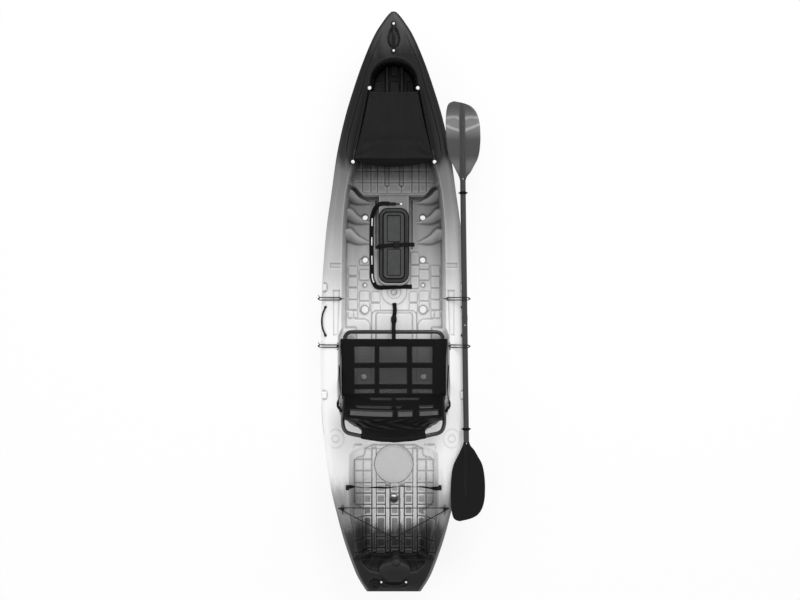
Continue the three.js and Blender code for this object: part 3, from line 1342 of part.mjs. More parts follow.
// One cord round four knobs: across the front, over and under itself, and knotted at the stern
function makeLacing() {
  const radius = cordDiameter / 2;
  const wrap = knobNeckDiameter / 2 + radius + 2 * fitGap;
  const up = knobHeight * 0.52;
  const heightAt = (y) => restingOn(y, knobHeadDiameter / 2) + up;
  const around = (x, y, from, to) => {
    const places = arcPoints(x, y, wrap, from, to, 3);
    return places.map((place) => [...place, heightAt(y)]);
  };
  const crossY = lacingFrontY + (lacingRearY - lacingFrontY) * lacingFrontX / (lacingFrontX + lacingRearX);
  const level = (heightAt(lacingFrontY) + heightAt(lacingRearY)) / 2;
  const points = [
    [0, lacingRearY - wrap, heightAt(lacingRearY)],
    ...around(-lacingRearX, lacingRearY, 270, 140),
    [0, crossY, level + cordDiameter],
    ...around(lacingFrontX, lacingFrontY, -60, 90),
    [0, lacingFrontY + wrap, heightAt(lacingFrontY)],
    ...around(-lacingFrontX, lacingFrontY, 90, 240),
    [0, crossY, level - cordDiameter / 2],
    ...around(lacingRearX, lacingRearY, 40, -90),
    [cordDiameter * 2, lacingRearY - wrap, heightAt(lacingRearY)],
  ];
  const knot = turned([[0, -cordDiameter], [cordDiameter * 1.5, -cordDiameter / 2],
    [cordDiameter * 1.5, cordDiameter / 2], [0, cordDiameter]], 10)
    .translate([cordDiameter, lacingRearY - wrap, heightAt(lacingRearY)]);
  return tubeAlong(points, radius, 6, 3).add(knot);
}

function addRigging() {
  for (const [end, x, y] of [['front', lacingFrontX, lacingFrontY], ['rear', lacingRearX, lacingRearY]]) {
    for (const [name, side] of [['right', 1], ['left', -1]]) {
      const headRadius = knobHeadDiameter / 2;
      const post = addPiece(`lacing_knob_${end}_${name}`, knob(), 'black');
      post.position.set(side * x, y, restingOn(y, headRadius));
    }
  }
  addPiece('stern_lacing', makeLacing(), 'cord');
  const lashingTop = sheerAt(lashingY) + lashingThickness / 2 + fitGap * 3;
  const lashing = lashingShares.map((share) => {
    const sag = lashingSag * Math.max(0, 1 - (share / lashingTabShare) ** 2);
    return [share * lashingHalfLength, lashingY, lashingTop - sag];
  });
  const strap = barAlong(lashing, webbing(lashingWidth, lashingThickness), { across: [0, 1, 0] });
  addPiece('lashing_strap', strap, 'webbing');
  for (const [name, side] of [['right', 1], ['left', -1]]) {
    addPiece(`keeper_front_${name}`, makeKeeper(keeperFrontY, keeperFrontInnerX, side), 'cord');
    addPiece(`keeper_rear_${name}`, makeKeeper(keeperRearY, keeperRearInnerX, side), 'cord');
  }
}

function addHatch() {
  addPiece('hatch_frame', makeHatchFrame(), 'black');
  addPiece('hatch_gasket', makeGasket(), 'rubber');
  addPiece('hatch_lid', makeLid(), 'lid');
  addPiece('hatch_strap', makeHatchStrap(), 'webbing');
  addPiece('hatch_strap_buckle', makeBuckle(), 'black');
}

addPiece('hull', makeHull(), 'hull');
addBow();
addHatch();
addSeat();
addFloorStrap();
addPaddle();
addHandles();
addClosures();
addRigging();

export default kayak;
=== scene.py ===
import math

import bmesh
import bpy
import numpy as np
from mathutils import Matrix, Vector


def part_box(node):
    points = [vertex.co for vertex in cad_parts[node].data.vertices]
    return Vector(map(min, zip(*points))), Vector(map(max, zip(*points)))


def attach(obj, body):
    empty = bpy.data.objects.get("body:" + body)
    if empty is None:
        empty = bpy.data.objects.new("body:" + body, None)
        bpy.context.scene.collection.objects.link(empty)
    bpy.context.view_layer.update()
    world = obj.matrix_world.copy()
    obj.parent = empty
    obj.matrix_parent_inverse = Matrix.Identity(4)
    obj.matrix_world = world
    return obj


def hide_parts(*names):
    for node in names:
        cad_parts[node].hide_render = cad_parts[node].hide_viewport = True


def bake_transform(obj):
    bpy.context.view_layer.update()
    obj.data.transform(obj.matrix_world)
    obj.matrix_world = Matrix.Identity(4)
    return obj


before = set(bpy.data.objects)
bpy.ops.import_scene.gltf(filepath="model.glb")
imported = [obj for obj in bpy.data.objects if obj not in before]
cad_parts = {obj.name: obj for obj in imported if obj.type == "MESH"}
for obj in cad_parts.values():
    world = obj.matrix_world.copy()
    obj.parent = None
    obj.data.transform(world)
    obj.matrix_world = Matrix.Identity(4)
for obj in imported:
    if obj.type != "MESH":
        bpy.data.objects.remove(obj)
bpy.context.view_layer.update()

# A fishing kayak seen from straight above: +Y is the bow, +X the paddle's side, +Z up, in metres.
# Every hull height below is a function of x and y, so wells, pads and grooves can be edited by name.

hands = ((1, "right"), (-1, "left"))
stage = {
    "viewHeight": 6.0, "deckHeight": 0.30, "aim": (0.037, 0.018), "millimetresPerPixel": 5.903,
    "picturePixels": 800, "sensor": 36.0, "worldStrength": 0.79, "keyEnergy": 158.0, "keyPlace": (1.6, 4.4, 4.8),
    "keySize": 2.6, "fillEnergy": 30.0, "fillPlace": (-4.0, -2.5, 5.0), "fillSize": 3.0,
    "floorHalf": 30.0, "floorGrey": 0.95, "glow": 0.84,
}


def makeStage():
    # The key light stands ahead of the bow, so that faces turned aft are the dark ones
    scene = bpy.context.scene
    scene.view_settings.view_transform = "Standard"
    camera = bpy.data.cameras.new("camera")
    camera.sensor_width = stage["sensor"]
    camera.lens = stage["sensor"] / stage["picturePixels"] * stage["viewHeight"] * 1000 / stage["millimetresPerPixel"]
    camera.clip_end = 100.0
    eye = bpy.data.objects.new("camera", camera)
    eye.location = (*stage["aim"], stage["deckHeight"] + stage["viewHeight"])
    scene.collection.objects.link(eye)
    scene.camera = eye

    world = bpy.data.worlds.new("studio")
    world.use_nodes = True
    world.node_tree.nodes["Background"].inputs["Color"].default_value = (1, 1, 1, 1)
    world.node_tree.nodes["Background"].inputs["Strength"].default_value = stage["worldStrength"]
    scene.world = world

    def lamp(name, place, energy, size):
        light = bpy.data.lights.new(name, "AREA")
        light.energy, light.size = energy, size
        item = bpy.data.objects.new(name, light)
        item.location = place
        aim = np.array((0, 0, stage["deckHeight"])) - np.array(place)
        flat = math.hypot(aim[0], aim[1])
        item.rotation_euler = (math.atan2(flat, -aim[2]), 0, math.atan2(aim[1], aim[0]) - math.pi / 2)
        scene.collection.objects.link(item)

    lamp("key", stage["keyPlace"], stage["keyEnergy"], stage["keySize"])
    lamp("fill", stage["fillPlace"], stage["fillEnergy"], stage["fillSize"])

    half = stage["floorHalf"]
    corners = [(-half, -half, 0), (half, -half, 0), (half, half, 0), (-half, half, 0)]
    mesh = bpy.data.meshes.new("floor")
    mesh.from_pydata(corners, [], [(0, 1, 2, 3)])
    floor = bpy.data.objects.new("floor", mesh)
    scene.collection.objects.link(floor)
    paint = Finish("floorPaint", color=(stage["floorGrey"],) * 3, roughness=0.9)
    ray = paint.node("LightPath")
    seen = paint.socketOf(ray, "Is Camera Ray").max(paint.socketOf(ray, "Is Glossy Ray")).max(
        paint.socketOf(ray, "Is Transmission Ray"))
    glow = paint.node("Emission", {}, {"Color": (1, 1, 1, 1), "Strength": 1.0})
    paint.finishWith(paint.node("MixShader", {}, {0: seen * stage["glow"], 1: paint.shaderSignal, 2: glow}))
    floor.data.materials.append(paint.material)


# Shader maths


class Signal:
    # A node's output socket that can be added, multiplied and compared as a number
    def __init__(self, paint, socket):
        self.paint, self.socket = paint, socket

    def maths(self, operation, *others):
        return self.paint.node("Math", {"operation": operation}, dict(enumerate((self, *others))))

    def __add__(self, other): return self.maths("ADD", other)
    def __radd__(self, other): return self.maths("ADD", other)
    def __mul__(self, other): return self.maths("MULTIPLY", other)
    def __rmul__(self, other): return self.maths("MULTIPLY", other)
    def __sub__(self, other): return self.maths("SUBTRACT", other)
    def __rsub__(self, other): return self.paint.node("Math", {"operation": "SUBTRACT"}, {0: other, 1: self})
    def __truediv__(self, other): return self.maths("DIVIDE", other)
    def max(self, other): return self.maths("MAXIMUM", other)
    def absolute(self): return self.maths("ABSOLUTE")
    def sine(self): return self.maths("SINE")
    def power(self, other): return self.maths("POWER", other)

    def between(self, low, high):
        # 0 at low, 1 at high and smooth between them
        return self.paint.node("MapRange", {"interpolation_type": "SMOOTHSTEP"}, {
            "Value": self, "From Min": low, "From Max": high, "To Min": 0.0, "To Max": 1.0})


class Finish:
    # One material: a principled shader and the nodes that feed it
    def __init__(self, name, color=(0.5, 0.5, 0.5), roughness=0.5, specular=0.5):
        self.material = bpy.data.materials.new(name)
        self.material.use_nodes = True
        self.tree = self.material.node_tree
        self.shader = self.tree.nodes["Principled BSDF"]
        self.shaderSignal = Signal(self, self.shader.outputs[0])
        self.shader.inputs["Roughness"].default_value = roughness
        self.shader.inputs["Specular IOR Level"].default_value = specular
        self.shader.inputs["Base Color"].default_value = (*color, 1)

    def node(self, kind, settings=None, inputs=None):
        made = self.tree.nodes.new("ShaderNode" + kind)
        for key, value in (settings or {}).items():
            if key == "stops":
                self.fillRamp(made.color_ramp, value)
            else:
                setattr(made, key, value)
        for key, value in (inputs or {}).items():
            self.put(made.inputs[key], value)
        shown = next((socket for socket in made.outputs if socket.enabled), made.outputs[0])
        return Signal(self, shown)

    def fillRamp(self, ramp, stops):
        while len(ramp.elements) < len(stops):
            ramp.elements.new(0.5)
        for element, (place, grey) in zip(ramp.elements, stops):
            element.position, element.color = place, (grey, grey, grey, 1)

    def put(self, socket, value):
        if isinstance(value, Signal):
            self.tree.links.new(value.socket, socket)
        else:
            socket.default_value = value

    def socketOf(self, signal, name):
        return Signal(self, signal.socket.node.outputs[name])

    def where(self):
        return self.socketOf(self.node("TexCoord"), "Object")

    def uv(self):
        return self.socketOf(self.node("TexCoord"), "UV")

    def marked(self, name):
        return self.socketOf(self.node("Attribute", {"attribute_name": name}), "Fac")

    def parts(self, vector):
        split = self.node("SeparateXYZ", {}, {0: vector})
        return [self.socketOf(split, axis) for axis in "XYZ"]

    def noise(self, vector, scale, detail=2.0, roughness=0.5):
        return self.node("TexNoise", {}, {"Vector": vector, "Scale": scale, "Detail": detail, "Roughness": roughness})

    def scaled(self, vector, scale):
        return self.node("Mapping", {}, {"Vector": vector, "Scale": scale})

    def blended(self, share, first, second):
        mix = self.node("Mix", {"data_type": "RGBA"}, {0: share, 6: first, 7: second})
        return Signal(self, mix.socket.node.outputs[2])

    def bump(self, height, strength, distance):
        made = self.node("Bump", {}, {"Height": height, "Strength": strength, "Distance": distance})
        self.put(self.shader.inputs["Normal"], made)

    def set(self, name, value):
        self.put(self.shader.inputs[name], value)

    def finishWith(self, signal):
        self.put(self.tree.nodes["Material Output"].inputs["Surface"], signal)


# Shapes


def meshOf(name, points, faces, uv=None, smooth=True):
    # points (n, 3) and faces (m, 4) or (m, 3) become one object at the origin
    mesh = bpy.data.meshes.new(name)
    mesh.from_pydata(points.reshape(-1, 3).tolist(), [], [list(face) for face in faces])
    if uv is not None:
        layer = mesh.uv_layers.new(name="UVMap")
        corner = np.zeros(len(mesh.loops), np.int32)
        mesh.loops.foreach_get("vertex_index", corner)
        layer.data.foreach_set("uv", uv.reshape(-1, 2)[corner].astype(np.float32).ravel())
    if smooth:
        mesh.shade_smooth()
    item = bpy.data.objects.new(name, mesh)
    bpy.context.scene.collection.objects.link(item)
    return item


def mark(item, name, values):
    # A value at every point, for the material
    made = item.data.attributes.new(name, "FLOAT", "POINT")
    made.data.foreach_set("value", np.asarray(values, np.float32))

def gridFaces(rows, columns, closedRows=False, closedColumns=False):
    row = np.arange(rows if closedRows else rows - 1)[:, None]
    column = np.arange(columns if closedColumns else columns - 1)[None, :]
    below, beside = (row + 1) % rows, (column + 1) % columns
    return np.stack([row * columns + column, row * columns + beside, below * columns + beside,
                     below * columns + column], -1).reshape(-1, 4)


def curveThrough(table, at):
    # Cubic through the table's points, with slopes held back so that nothing overshoots
    xs, ys = np.asarray(table, float).T
    step = np.diff(xs)
    rise = np.diff(ys) / step
    slope = np.zeros_like(ys)
    same = rise[1:] * rise[:-1] > 0
    slope[1:-1][same] = (2 * rise[1:] * rise[:-1])[same] / (rise[1:] + rise[:-1])[same]
    slope[0], slope[-1] = rise[0], rise[-1]
    at = np.clip(at, xs[0], xs[-1])
    i = np.clip(np.searchsorted(xs, at) - 1, 0, len(step) - 1)
    t = (at - xs[i]) / step[i]
    return (ys[i] * (1 + 2 * t) * (1 - t) ** 2 + ys[i + 1] * t * t * (3 - 2 * t)
            + step[i] * (slope[i] * t * (1 - t) ** 2 - slope[i + 1] * t * t * (1 - t)))


def ease(value):
    # 0 below 0, 1 above 1 and smooth between
    t = np.clip(value, 0, 1)
    return t * t * (3 - 2 * t)


def softMin(a, b, width):
    near = np.maximum(width - np.abs(a - b), 0) / width
    return np.minimum(a, b) - near * near * width / 4


def softMax(a, b, width):
    return -softMin(-a, -b, width)


def insideDistance(x, y, outline):
    # Distance to a closed outline, above 0 inside it and below 0 outside
    best = np.full(x.shape, 1e9)
    inside = np.zeros(x.shape, bool)
    for (ax, ay), (bx, by) in zip(outline, np.roll(outline, -1, 0)):
        ex, ey = bx - ax, by - ay
        px, py = x - ax, y - ay
        t = np.clip((px * ex + py * ey) / (ex * ex + ey * ey + 1e-12), 0, 1)
        best = np.minimum(best, (px - t * ex) ** 2 + (py - t * ey) ** 2)
        if ay != by:
            inside ^= ((ay > y) != (by > y)) & (x < ex * py / ey + ax)
    return np.where(inside, 1.0, -1.0) * np.sqrt(best)


def insideBox(x, y, middle, size, radius):
    # The same distance for a rectangle with round corners
    dx = np.abs(x - middle[0]) - size[0] / 2 + radius
    dy = np.abs(y - middle[1]) - size[1] / 2 + radius
    outside = np.hypot(np.maximum(dx, 0), np.maximum(dy, 0)) + np.minimum(np.maximum(dx, dy), 0)
    return radius - outside


def arcHalf(front, half, start, steps=9):
    # A quarter ellipse from the middle line to the side
    turn = np.linspace(0, np.pi / 2, steps)
    return [(half * math.sin(t), start + (front - start) * math.cos(t)) for t in turn]


def mirroredOutline(side):
    # A closed outline from its starboard half, listed from the front to the rear
    half = np.asarray(side, float)
    return np.concatenate([half, (half * (-1, 1))[::-1]])


# Hull

lowHull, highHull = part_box("hull")
hull = {
    "length": highHull.y - lowHull.y, "beam": highHull.x - lowHull.x, "sheer": 0.300, "bowRise": 0.085,
    "sternRise": 0.030, "band": 0.040, "bowKeel": 0.240, "sternKeel": 0.110, "bowKeelStart": 0.5,
    "sternKeelStart": 0.62, "columns": 300, "rowsEach": 312, "seams": (1.0, -0.3), "girth": 64,
    "breadth": [
        (-0.5, 0.364), (-0.4947, 0.394), (-0.474, 0.495), (-0.453, 0.565), (-0.4115, 0.68), (-0.37, 0.77),
        (-0.328, 0.85), (-0.2865, 0.906), (-0.245, 0.947), (-0.182, 0.988), (-0.0885, 1), (0.005, 0.988),
        (0.068, 0.961), (0.13, 0.919), (0.193, 0.85), (0.255, 0.781), (0.318, 0.673), (0.38, 0.523),
        (0.422, 0.401), (0.4635, 0.251), (0.484, 0.143), (0.4955, 0.07), (0.5, 0.03)],
    "section": [(0, 0), (0.4, 0), (0.66, 0.05), (0.86, 0.2), (0.955, 0.45), (0.99, 0.75), (1, 0.9)],
}


def halfBreadth(y):
    return curveThrough(hull["breadth"], y / hull["length"]) * hull["beam"] / 2


def sheerAt(y):
    share = 2 * y / hull["length"]
    return hull["sheer"] + np.where(share > 0, hull["bowRise"] * share ** 3, -hull["sternRise"] * share ** 3)


def keelAt(y):
    share = 2 * y / hull["length"]
    bow = np.clip((share - hull["bowKeelStart"]) / (1 - hull["bowKeelStart"]), 0, None)
    stern = np.clip((-share - hull["sternKeelStart"]) / (1 - hull["sternKeelStart"]), 0, None)
    return hull["bowKeel"] * bow ** 2.2 + hull["sternKeel"] * stern ** 2


def deckAt(y):
    return float(sheerAt(np.array(y)))

def gunwaleHeight(x, y):
    # Flat side deck that rolls over its outer band to nine tenths of the height
    step = 0.002
    slant = (halfBreadth(y + step) - halfBreadth(y - step)) / (2 * step)
    fromSide = (halfBreadth(y) - np.abs(x)) / np.sqrt(1 + slant ** 2)
    fromEnd = y + hull["length"] / 2
    inwards = np.clip(softMin(fromSide, fromEnd, 0.03), 0, None) / hull["band"]
    share = np.where(inwards < 1, 0.9 + 0.1 * (1 - (1 - np.clip(inwards, 0, 1)) ** 1.9), 1.0)
    height = sheerAt(y) - keelAt(y)
    return keelAt(y) + height * share


wells = {
    # Rim and floor outlines as starboard halves from the front to the rear: x, y
    "bowRim": [*arcHalf(1.438, 0.143, 1.300), (0.152, 1.245), (0.190, 1.05),
               (0.232, 0.850), (0.266, 0.740), (0.279, 0.640), (0.281, 0.560), (0, 0.560)],
    "bowFloor": [*arcHalf(1.421, 0.118, 1.290), (0.130, 1.235),
                 (0.168, 1.04), (0.212, 0.840), (0.246, 0.735), (0.259, 0.640), (0.262, 0.540), (0, 0.540)],
    "bowFloorHeight": 0.165,
    "cockpitRim": [(0, 0.652), (0.186, 0.652), (0.204, 0.664), (0.230, 0.696), (0.250, 0.710), (0.270, 0.706),
                   (0.281, 0.665), (0.286, 0.620), (0.295, 0.540), (0.302, 0.430), (0.306, 0.230), (0.308, -0.150),
                   (0.330, -0.196), (0.330, -0.600), (0.314, -0.657), (0.270, -0.690), (0, -0.690)],
    "cockpitFloor": [(0, 0.634), (0.178, 0.634), (0.192, 0.645), (0.220, 0.681), (0.240, 0.696), (0.256, 0.692),
                     (0.264, 0.655), (0.269, 0.610), (0.279, 0.535), (0.287, 0.430), (0.291, 0.230), (0.293, -0.160),
                     (0.308, -0.206), (0.308, -0.590), (0.290, -0.638), (0.250, -0.664), (0, -0.664)],
    "cockpitFloorHeight": 0.110,
    "tankRim": [(0, -0.823), (0.128, -0.823), (0.170, -0.840), (0.243, -0.874), (0.258, -0.892), (0.263, -1.00),
                (0.263, -1.190), (0.260, -1.235), (0.250, -1.300), (0.226, -1.400), (0.201, -1.485),
                (0.180, -1.535), (0.140, -1.572), (0.090, -1.582), (0, -1.582)],
    "tankFloor": [(0, -0.846), (0.120, -0.846), (0.160, -0.862), (0.228, -0.892), (0.236, -0.912), (0.238, -1.000),
                  (0.236, -1.190), (0.222, -1.208), (0.192, -1.222), (0.172, -1.240), (0.164, -1.275),
                  (0.163, -1.470), (0.136, -1.507), (0, -1.508)],
    "tankFloorHeight": 0.200,
}


def carve(z, x, y, rim, floor, floorHeight, rimRound=0.030, footRound=0.012):
    # The wall runs straight from the rim's outline down to the floor's outline
    fromRim = insideDistance(x, y, mirroredOutline(rim))
    fromFloor = np.clip(-insideDistance(x, y, mirroredOutline(floor)), 0, None)
    share = fromRim / (np.abs(fromRim) + fromFloor + 1e-9)
    wall = z + (floorHeight - z) * np.where(fromRim > 0, share, 3 * fromRim / 0.02)
    wall = np.where(fromRim > 0, wall, z - fromRim * 6)
    return softMin(z, softMax(wall, np.full(z.shape, floorHeight), footRound), rimRound)


def boss(z, inside, top, draft, rounding=0.006):
    # A raised form whose side leans in by its draft
    side = top + (inside - draft) * (top - 0.09) / draft
    return softMax(z, softMin(side, np.full(z.shape, top), rounding), rounding)


def pad(z, inside, height, edge=0.004):
    return z + height * ease(inside / edge + 0.5)


console = {"halfWidth": 0.097, "rear": 0.106, "front": 0.66, "corner": 0.053, "top": 0.165, "draft": 0.008,
           "slot": (0.1075, 0.475, 0.013, 0.298), "slotDepth": 0.014}
ledges = {
    "top": 0.215, "inner": 0.228, "front": -0.150,
    "platforms": ((0.139, -0.047, 0.030, 0.128), (0.112, -0.060, 0.016, 0.150)),
    # A low shelf ahead of each seat ledge, as its outline, height and edge
    "shelf": [(0.147, -0.170), (0.149, -0.135), (0.158, -0.115), (0.175, -0.104), (0.236, -0.100), (0.2465, -0.094),
              (0.2505, -0.060),
              (0.258, -0.048), (0.310, -0.044), (0.310, -0.170)], "shelfHeight": 0.010, "shelfEdge": 0.008,
}
braces = {
    "rears": (0.588, 0.468, 0.346),
    "rise": [(0.120, 0.0), (0.155, 0.010), (0.200, 0.024), (0.235, 0.044), (0.262, 0.060), (0.330, 0.075)],
    # From |x|: how far each brace's front and its foot lie ahead of the brace's own place
    "front": [(0.120, 0.022), (0.155, 0.028), (0.180, 0.044), (0.200, 0.055), (0.2205, 0.070), (0.235, 0.086),
              (0.247, 0.100), (0.258, 0.108), (0.268, 0.112), (0.282, 0.111), (0.300, 0.100), (0.330, 0.080)],
    "foot": [(0.120, 0.014), (0.155, 0.009), (0.197, 0.001), (0.232, 0.004), (0.270, 0.018), (0.293, 0.024),
             (0.330, 0.034)],
    "crest": 0.80, "round": 2.3,
}
bricks = {
    "outline": [(0, 0.9), (0.241, 0.9), (0.241, 0.722), (0.200, 0.666), (0, 0.664)], "height": 0.0045, "groove": 0.0075,
    "columns": (-0.189, -0.139, -0.099, 0.109, 0.151, 0.196), "rows": (0.863, 0.795, 0.7245),
    "channels": (-0.0415, 0.0455), "channelHalf": 0.0155, "channelEnd": 0.713, "channelDepth": 0.009,
}
padTable = [
    # middle x, middle y, width, length of the low pads in the cockpit
    (-0.2505, 0.196, 0.053, 0.050), (-0.2505, 0.127, 0.053, 0.055), (-0.2505, 0.056, 0.053, 0.061),
    (-0.180, 0.248, 0.058, 0.030), (-0.180, 0.170, 0.058, 0.058), (-0.180, 0.042, 0.058, 0.052),
    (-0.180, -0.020, 0.058, 0.052),
    (-0.112, 0.035, 0.050, 0.058), (-0.112, -0.030, 0.050, 0.050), (-0.2505, -0.012, 0.053, 0.056),
    (-0.2505, -0.070, 0.053, 0.040),
    (0.128, 0.270, 0.046, 0.069), (0.128, 0.196, 0.046, 0.057), (0.128, 0.124, 0.046, 0.064),
    (0.184, 0.222, 0.058, 0.029), (0.184, 0.170, 0.058, 0.058), (0.184, 0.042, 0.058, 0.052),
    (0.184, -0.020, 0.058, 0.052),
    (0.118, 0.035, 0.046, 0.058), (0.118, -0.030, 0.046, 0.050), (0.253, 0.196, 0.051, 0.057),
    (0.253, 0.127, 0.051, 0.061),
    (0.253, 0.056, 0.051, 0.061), (0.253, -0.012, 0.051, 0.056), (0.253, -0.070, 0.051, 0.040),
]
tank = {
    "ribHeight": 0.014, "outerRibs": (-0.1175, 0.1265), "outerRibWidth": 0.026, "outerRibFront": -0.872,
    "innerRibs": (-0.037, 0.049), "innerRibWidth": 0.025, "innerRibFront": -1.094, "ribRear": -1.492,
    "brickHeight": 0.005, "columns": (-0.2095, -0.1585, -0.078, 0.0055, 0.089, 0.1665, 0.2205),
    "columnWidths": (0.045, 0.045, 0.050, 0.044, 0.044, 0.045, 0.044),
    "rows": (-0.830, -0.872, -0.936, -1.006, -1.078, -1.139, -1.207, -1.273, -1.399, -1.468, -1.502),
    "corner": [(0.155, -0.80), (0.167, -0.861), (0.1705, -0.905), (0.177, -0.915), (0.190, -0.922), (0.215, -0.927),
               (0.253, -0.957), (0.30, -0.957), (0.30, -0.80)],
    "cornerHeight": 0.020, "gap": 0.008, "plate": (0, -0.9639), "plateFlat": 0.118, "plateRing": 0.113,
    "ringHeight": 0.012, "plateFoot": 0.2124, "plateHole": 0.086,
}
scuppers = [
    # x, y, radius of each drain hole; both sides where x isn't 0
    (0.176, 0.521, 0.0165), (0.176, 0.262, 0.0170), (0.177, 0.109, 0.0095), (0, 0.066, 0.0130),
    (0.178, -0.040, 0.0220), (0.182, -0.450, 0.0175), (0, -1.171, 0.0225),
]
scupperPlaces = [(side * x, y, radius) for x, y, radius in scuppers for side in ((1, -1) if x else (1,))]
scupperFlare = 1.3
gunwale = {"rests": (0.092, -0.543), "restInner": 0.392, "restOuter": 0.431, "restLength": 0.045, "restHeight": 0.010,
           "bars": (0.2215, 0.341, 0.071, 0.030), "channel": (0.077, -0.192, 0.339, 0.021), "channelDepth": 0.005,
           "padPlace": (0.342, -0.800), "padRadius": 0.046, "discRadius": 0.025}
bowDeck = {
    "crease": [(0.78, 0.287), (0.875, 0.281), (0.96, 0.270), (1.06, 0.245), (1.18, 0.212), (1.27, 0.183), (1.35, 0.163),
               (1.44, 0.130), (1.53, 0.088), (1.60, 0.058), (1.70, 0.020)], "creaseDepth": 0.004,
    "recess": [(0, 1.622), (0.016, 1.616), (0.030, 1.595), (0.042, 1.555), (0.042, 1.530), (0.032, 1.503),
               (0.016, 1.490), (0, 1.486)], "recessDepth": 0.027, "collar": 0.016, "collars": (1.627, 1.475),
    "ribs": (-0.041, 0.0485), "ribWidth": 0.024, "ribHeight": 0.034, "plate": (0.004, 1.400, 0.048, 0.075),
    "plateHeight": 0.020, "bricksAcross": (0.004, -0.103, 0.110), "bricksAlong": (1.300, 1.226, 1.152),
    "brick": (0.052, 0.066),
}
sternDeck = {"dome": (0.005, -1.566), "domeWide": 0.093, "domeFront": 0.050, "domeLong": 0.083, "domeHeight": 0.026,
             "domeNose": (0.014, -1.524, 0.030),
             "trough": (0.004, -1.655, 0.150, 0.030), "troughDepth": 0.007,
             "drain": (-0.112, -1.65206), "drainRadius": 0.036, "drainHole": 0.017}


def cockpitForms(z, x, y):
    ax = np.abs(x)
    # Console, seat ledges, their low shelves and the raised middle
    inside = insideBox(x, y, (0, (console["front"] + console["rear"]) / 2),
                       (2 * console["halfWidth"], console["front"] - console["rear"]), console["corner"])
    inside = np.where(y > 0.4, console["halfWidth"] - ax, inside)
    z = np.where(y < console["front"], boss(z, inside, console["top"], console["draft"]), z)
    slot = console["slot"]
    z = pad(z, insideBox(ax, y, slot[:2], slot[2:], 0.005), -console["slotDepth"], 0.004)
    inner, front, rear = ledges["inner"], ledges["front"], -0.664
    inside = np.minimum(ax - inner, np.minimum(front - y, y - rear + 0.04))
    z = np.where(ax < 0.33, boss(z, inside, ledges["top"], 0.012), z)
    shelf = insideDistance(ax, y, ledges["shelf"])
    z = np.where(z < 0.16, pad(z, shelf, ledges["shelfHeight"], ledges["shelfEdge"]), z)
    for half, front, corner, top in ledges["platforms"]:
        inside = insideBox(x, y, (0.0015, (front + rear) / 2 - 0.04), (2 * half, front - rear + 0.08), corner)
        z = np.where((ax < 0.2) & (y > rear - 0.03), boss(z, inside, top, 0.006, 0.004), z)
    return z


def footBraces(z, x, y):
    # Three swept bumps on each wall: a short flank ahead, a rounded crest and a face that curves down to its foot
    ax = np.abs(x)
    rise = curveThrough(braces["rise"], ax)
    ahead, behind = curveThrough(braces["front"], ax), curveThrough(braces["foot"], ax)
    floor = wells["cockpitFloorHeight"]
    for place in braces["rears"]:
        share = (y - place - behind) / np.maximum(ahead - behind, 0.004)
        face = 1 - np.clip(1 - share / braces["crest"], 0, 1) ** braces["round"]
        flank = 1 - np.clip((share - braces["crest"]) / (1 - braces["crest"]), 0, 1) ** 2
        bump = floor - 0.01 + (rise + 0.01) * face * flank
        inside = (ax > 0.12) & (ax < 0.33) & (share > 0) & (share < 1)
        z = np.where(inside, softMax(z, bump, 0.004), z)
    return z


def brickRows(z, x, y):
    inside = insideDistance(x, y, mirroredOutline(bricks["outline"]))
    lines = [np.abs(x - place) for place in bricks["columns"]] + [np.abs(y - place) for place in bricks["rows"]]
    for place in bricks["channels"]:
        lines.append(np.where(y < bricks["channelEnd"], np.abs(x - place) + 0.001, 1.0))
    fromLine = np.minimum.reduce(lines) - bricks["groove"] / 2
    z = pad(z, np.minimum(inside, fromLine), bricks["height"], 0.003)
    for place in bricks["channels"]:
        along = np.clip(bricks["channelEnd"] - y, 0, None)
        inside = bricks["channelHalf"] - np.hypot(x - place, along)
        z = np.where(y < 0.9, pad(z, inside, -bricks["channelDepth"], 0.004), z)
    return z


def cockpitPads(z, x, y):
    for middleX, middleY, width, length in padTable:
        near = (np.abs(x - middleX) < width) & (np.abs(y - middleY) < length)
        z = np.where(near, pad(z, insideBox(x, y, (middleX, middleY), (width, length), 0.006), 0.005, 0.003), z)
    r = np.hypot(x - 0.001, y - 0.066)
    z = np.where(r < 0.080, pad(pad(z, 0.074 - r, 0.004, 0.003), 0.044 - r, -0.003, 0.003), z)
    return z


def tankForms(z, x, y):
    floor = wells["tankFloorHeight"]
    deep = (y < -0.84) & (y > -1.51)
    for place, wide in zip(tank["columns"], tank["columnWidths"]):
        for front, rear in zip(tank["rows"], tank["rows"][1:]):
            middle, length = (front + rear) / 2, front - rear - tank["gap"]
            near = deep & (np.abs(x - place) < wide) & (np.abs(y - middle) < length)
            brick = insideBox(x, y, (place, middle), (wide, length), 0.003)
            z = np.where(near, pad(z, brick, tank["brickHeight"], 0.003), z)
    for kind in ("outer", "inner"):
        for place in tank[kind + "Ribs"]:
            front = tank[kind + "RibFront"]
            middle, size = (front + tank["ribRear"]) / 2, (tank[kind + "RibWidth"], front - tank["ribRear"])
            inside = insideBox(x, y, (place, middle), size, 0.004)
            z = np.where(deep, boss(z, inside, floor + tank["ribHeight"], 0.003, 0.003), z)
    # Corner plateaus of the front and the ring under the round plate
    corner = insideDistance(np.abs(x), y, tank["corner"])
    plateau = floor + tank["cornerHeight"] * ease(corner / 0.012)
    z = np.where(deep, softMax(z, np.where(corner > 0, plateau, 0.0), 0.006), z)
    r = np.hypot(x - tank["plate"][0], y - tank["plate"][1])
    z = np.where(r < tank["plateFlat"], floor, z)
    z = pad(z, tank["plateRing"] - r, tank["ringHeight"], 0.004)
    return z


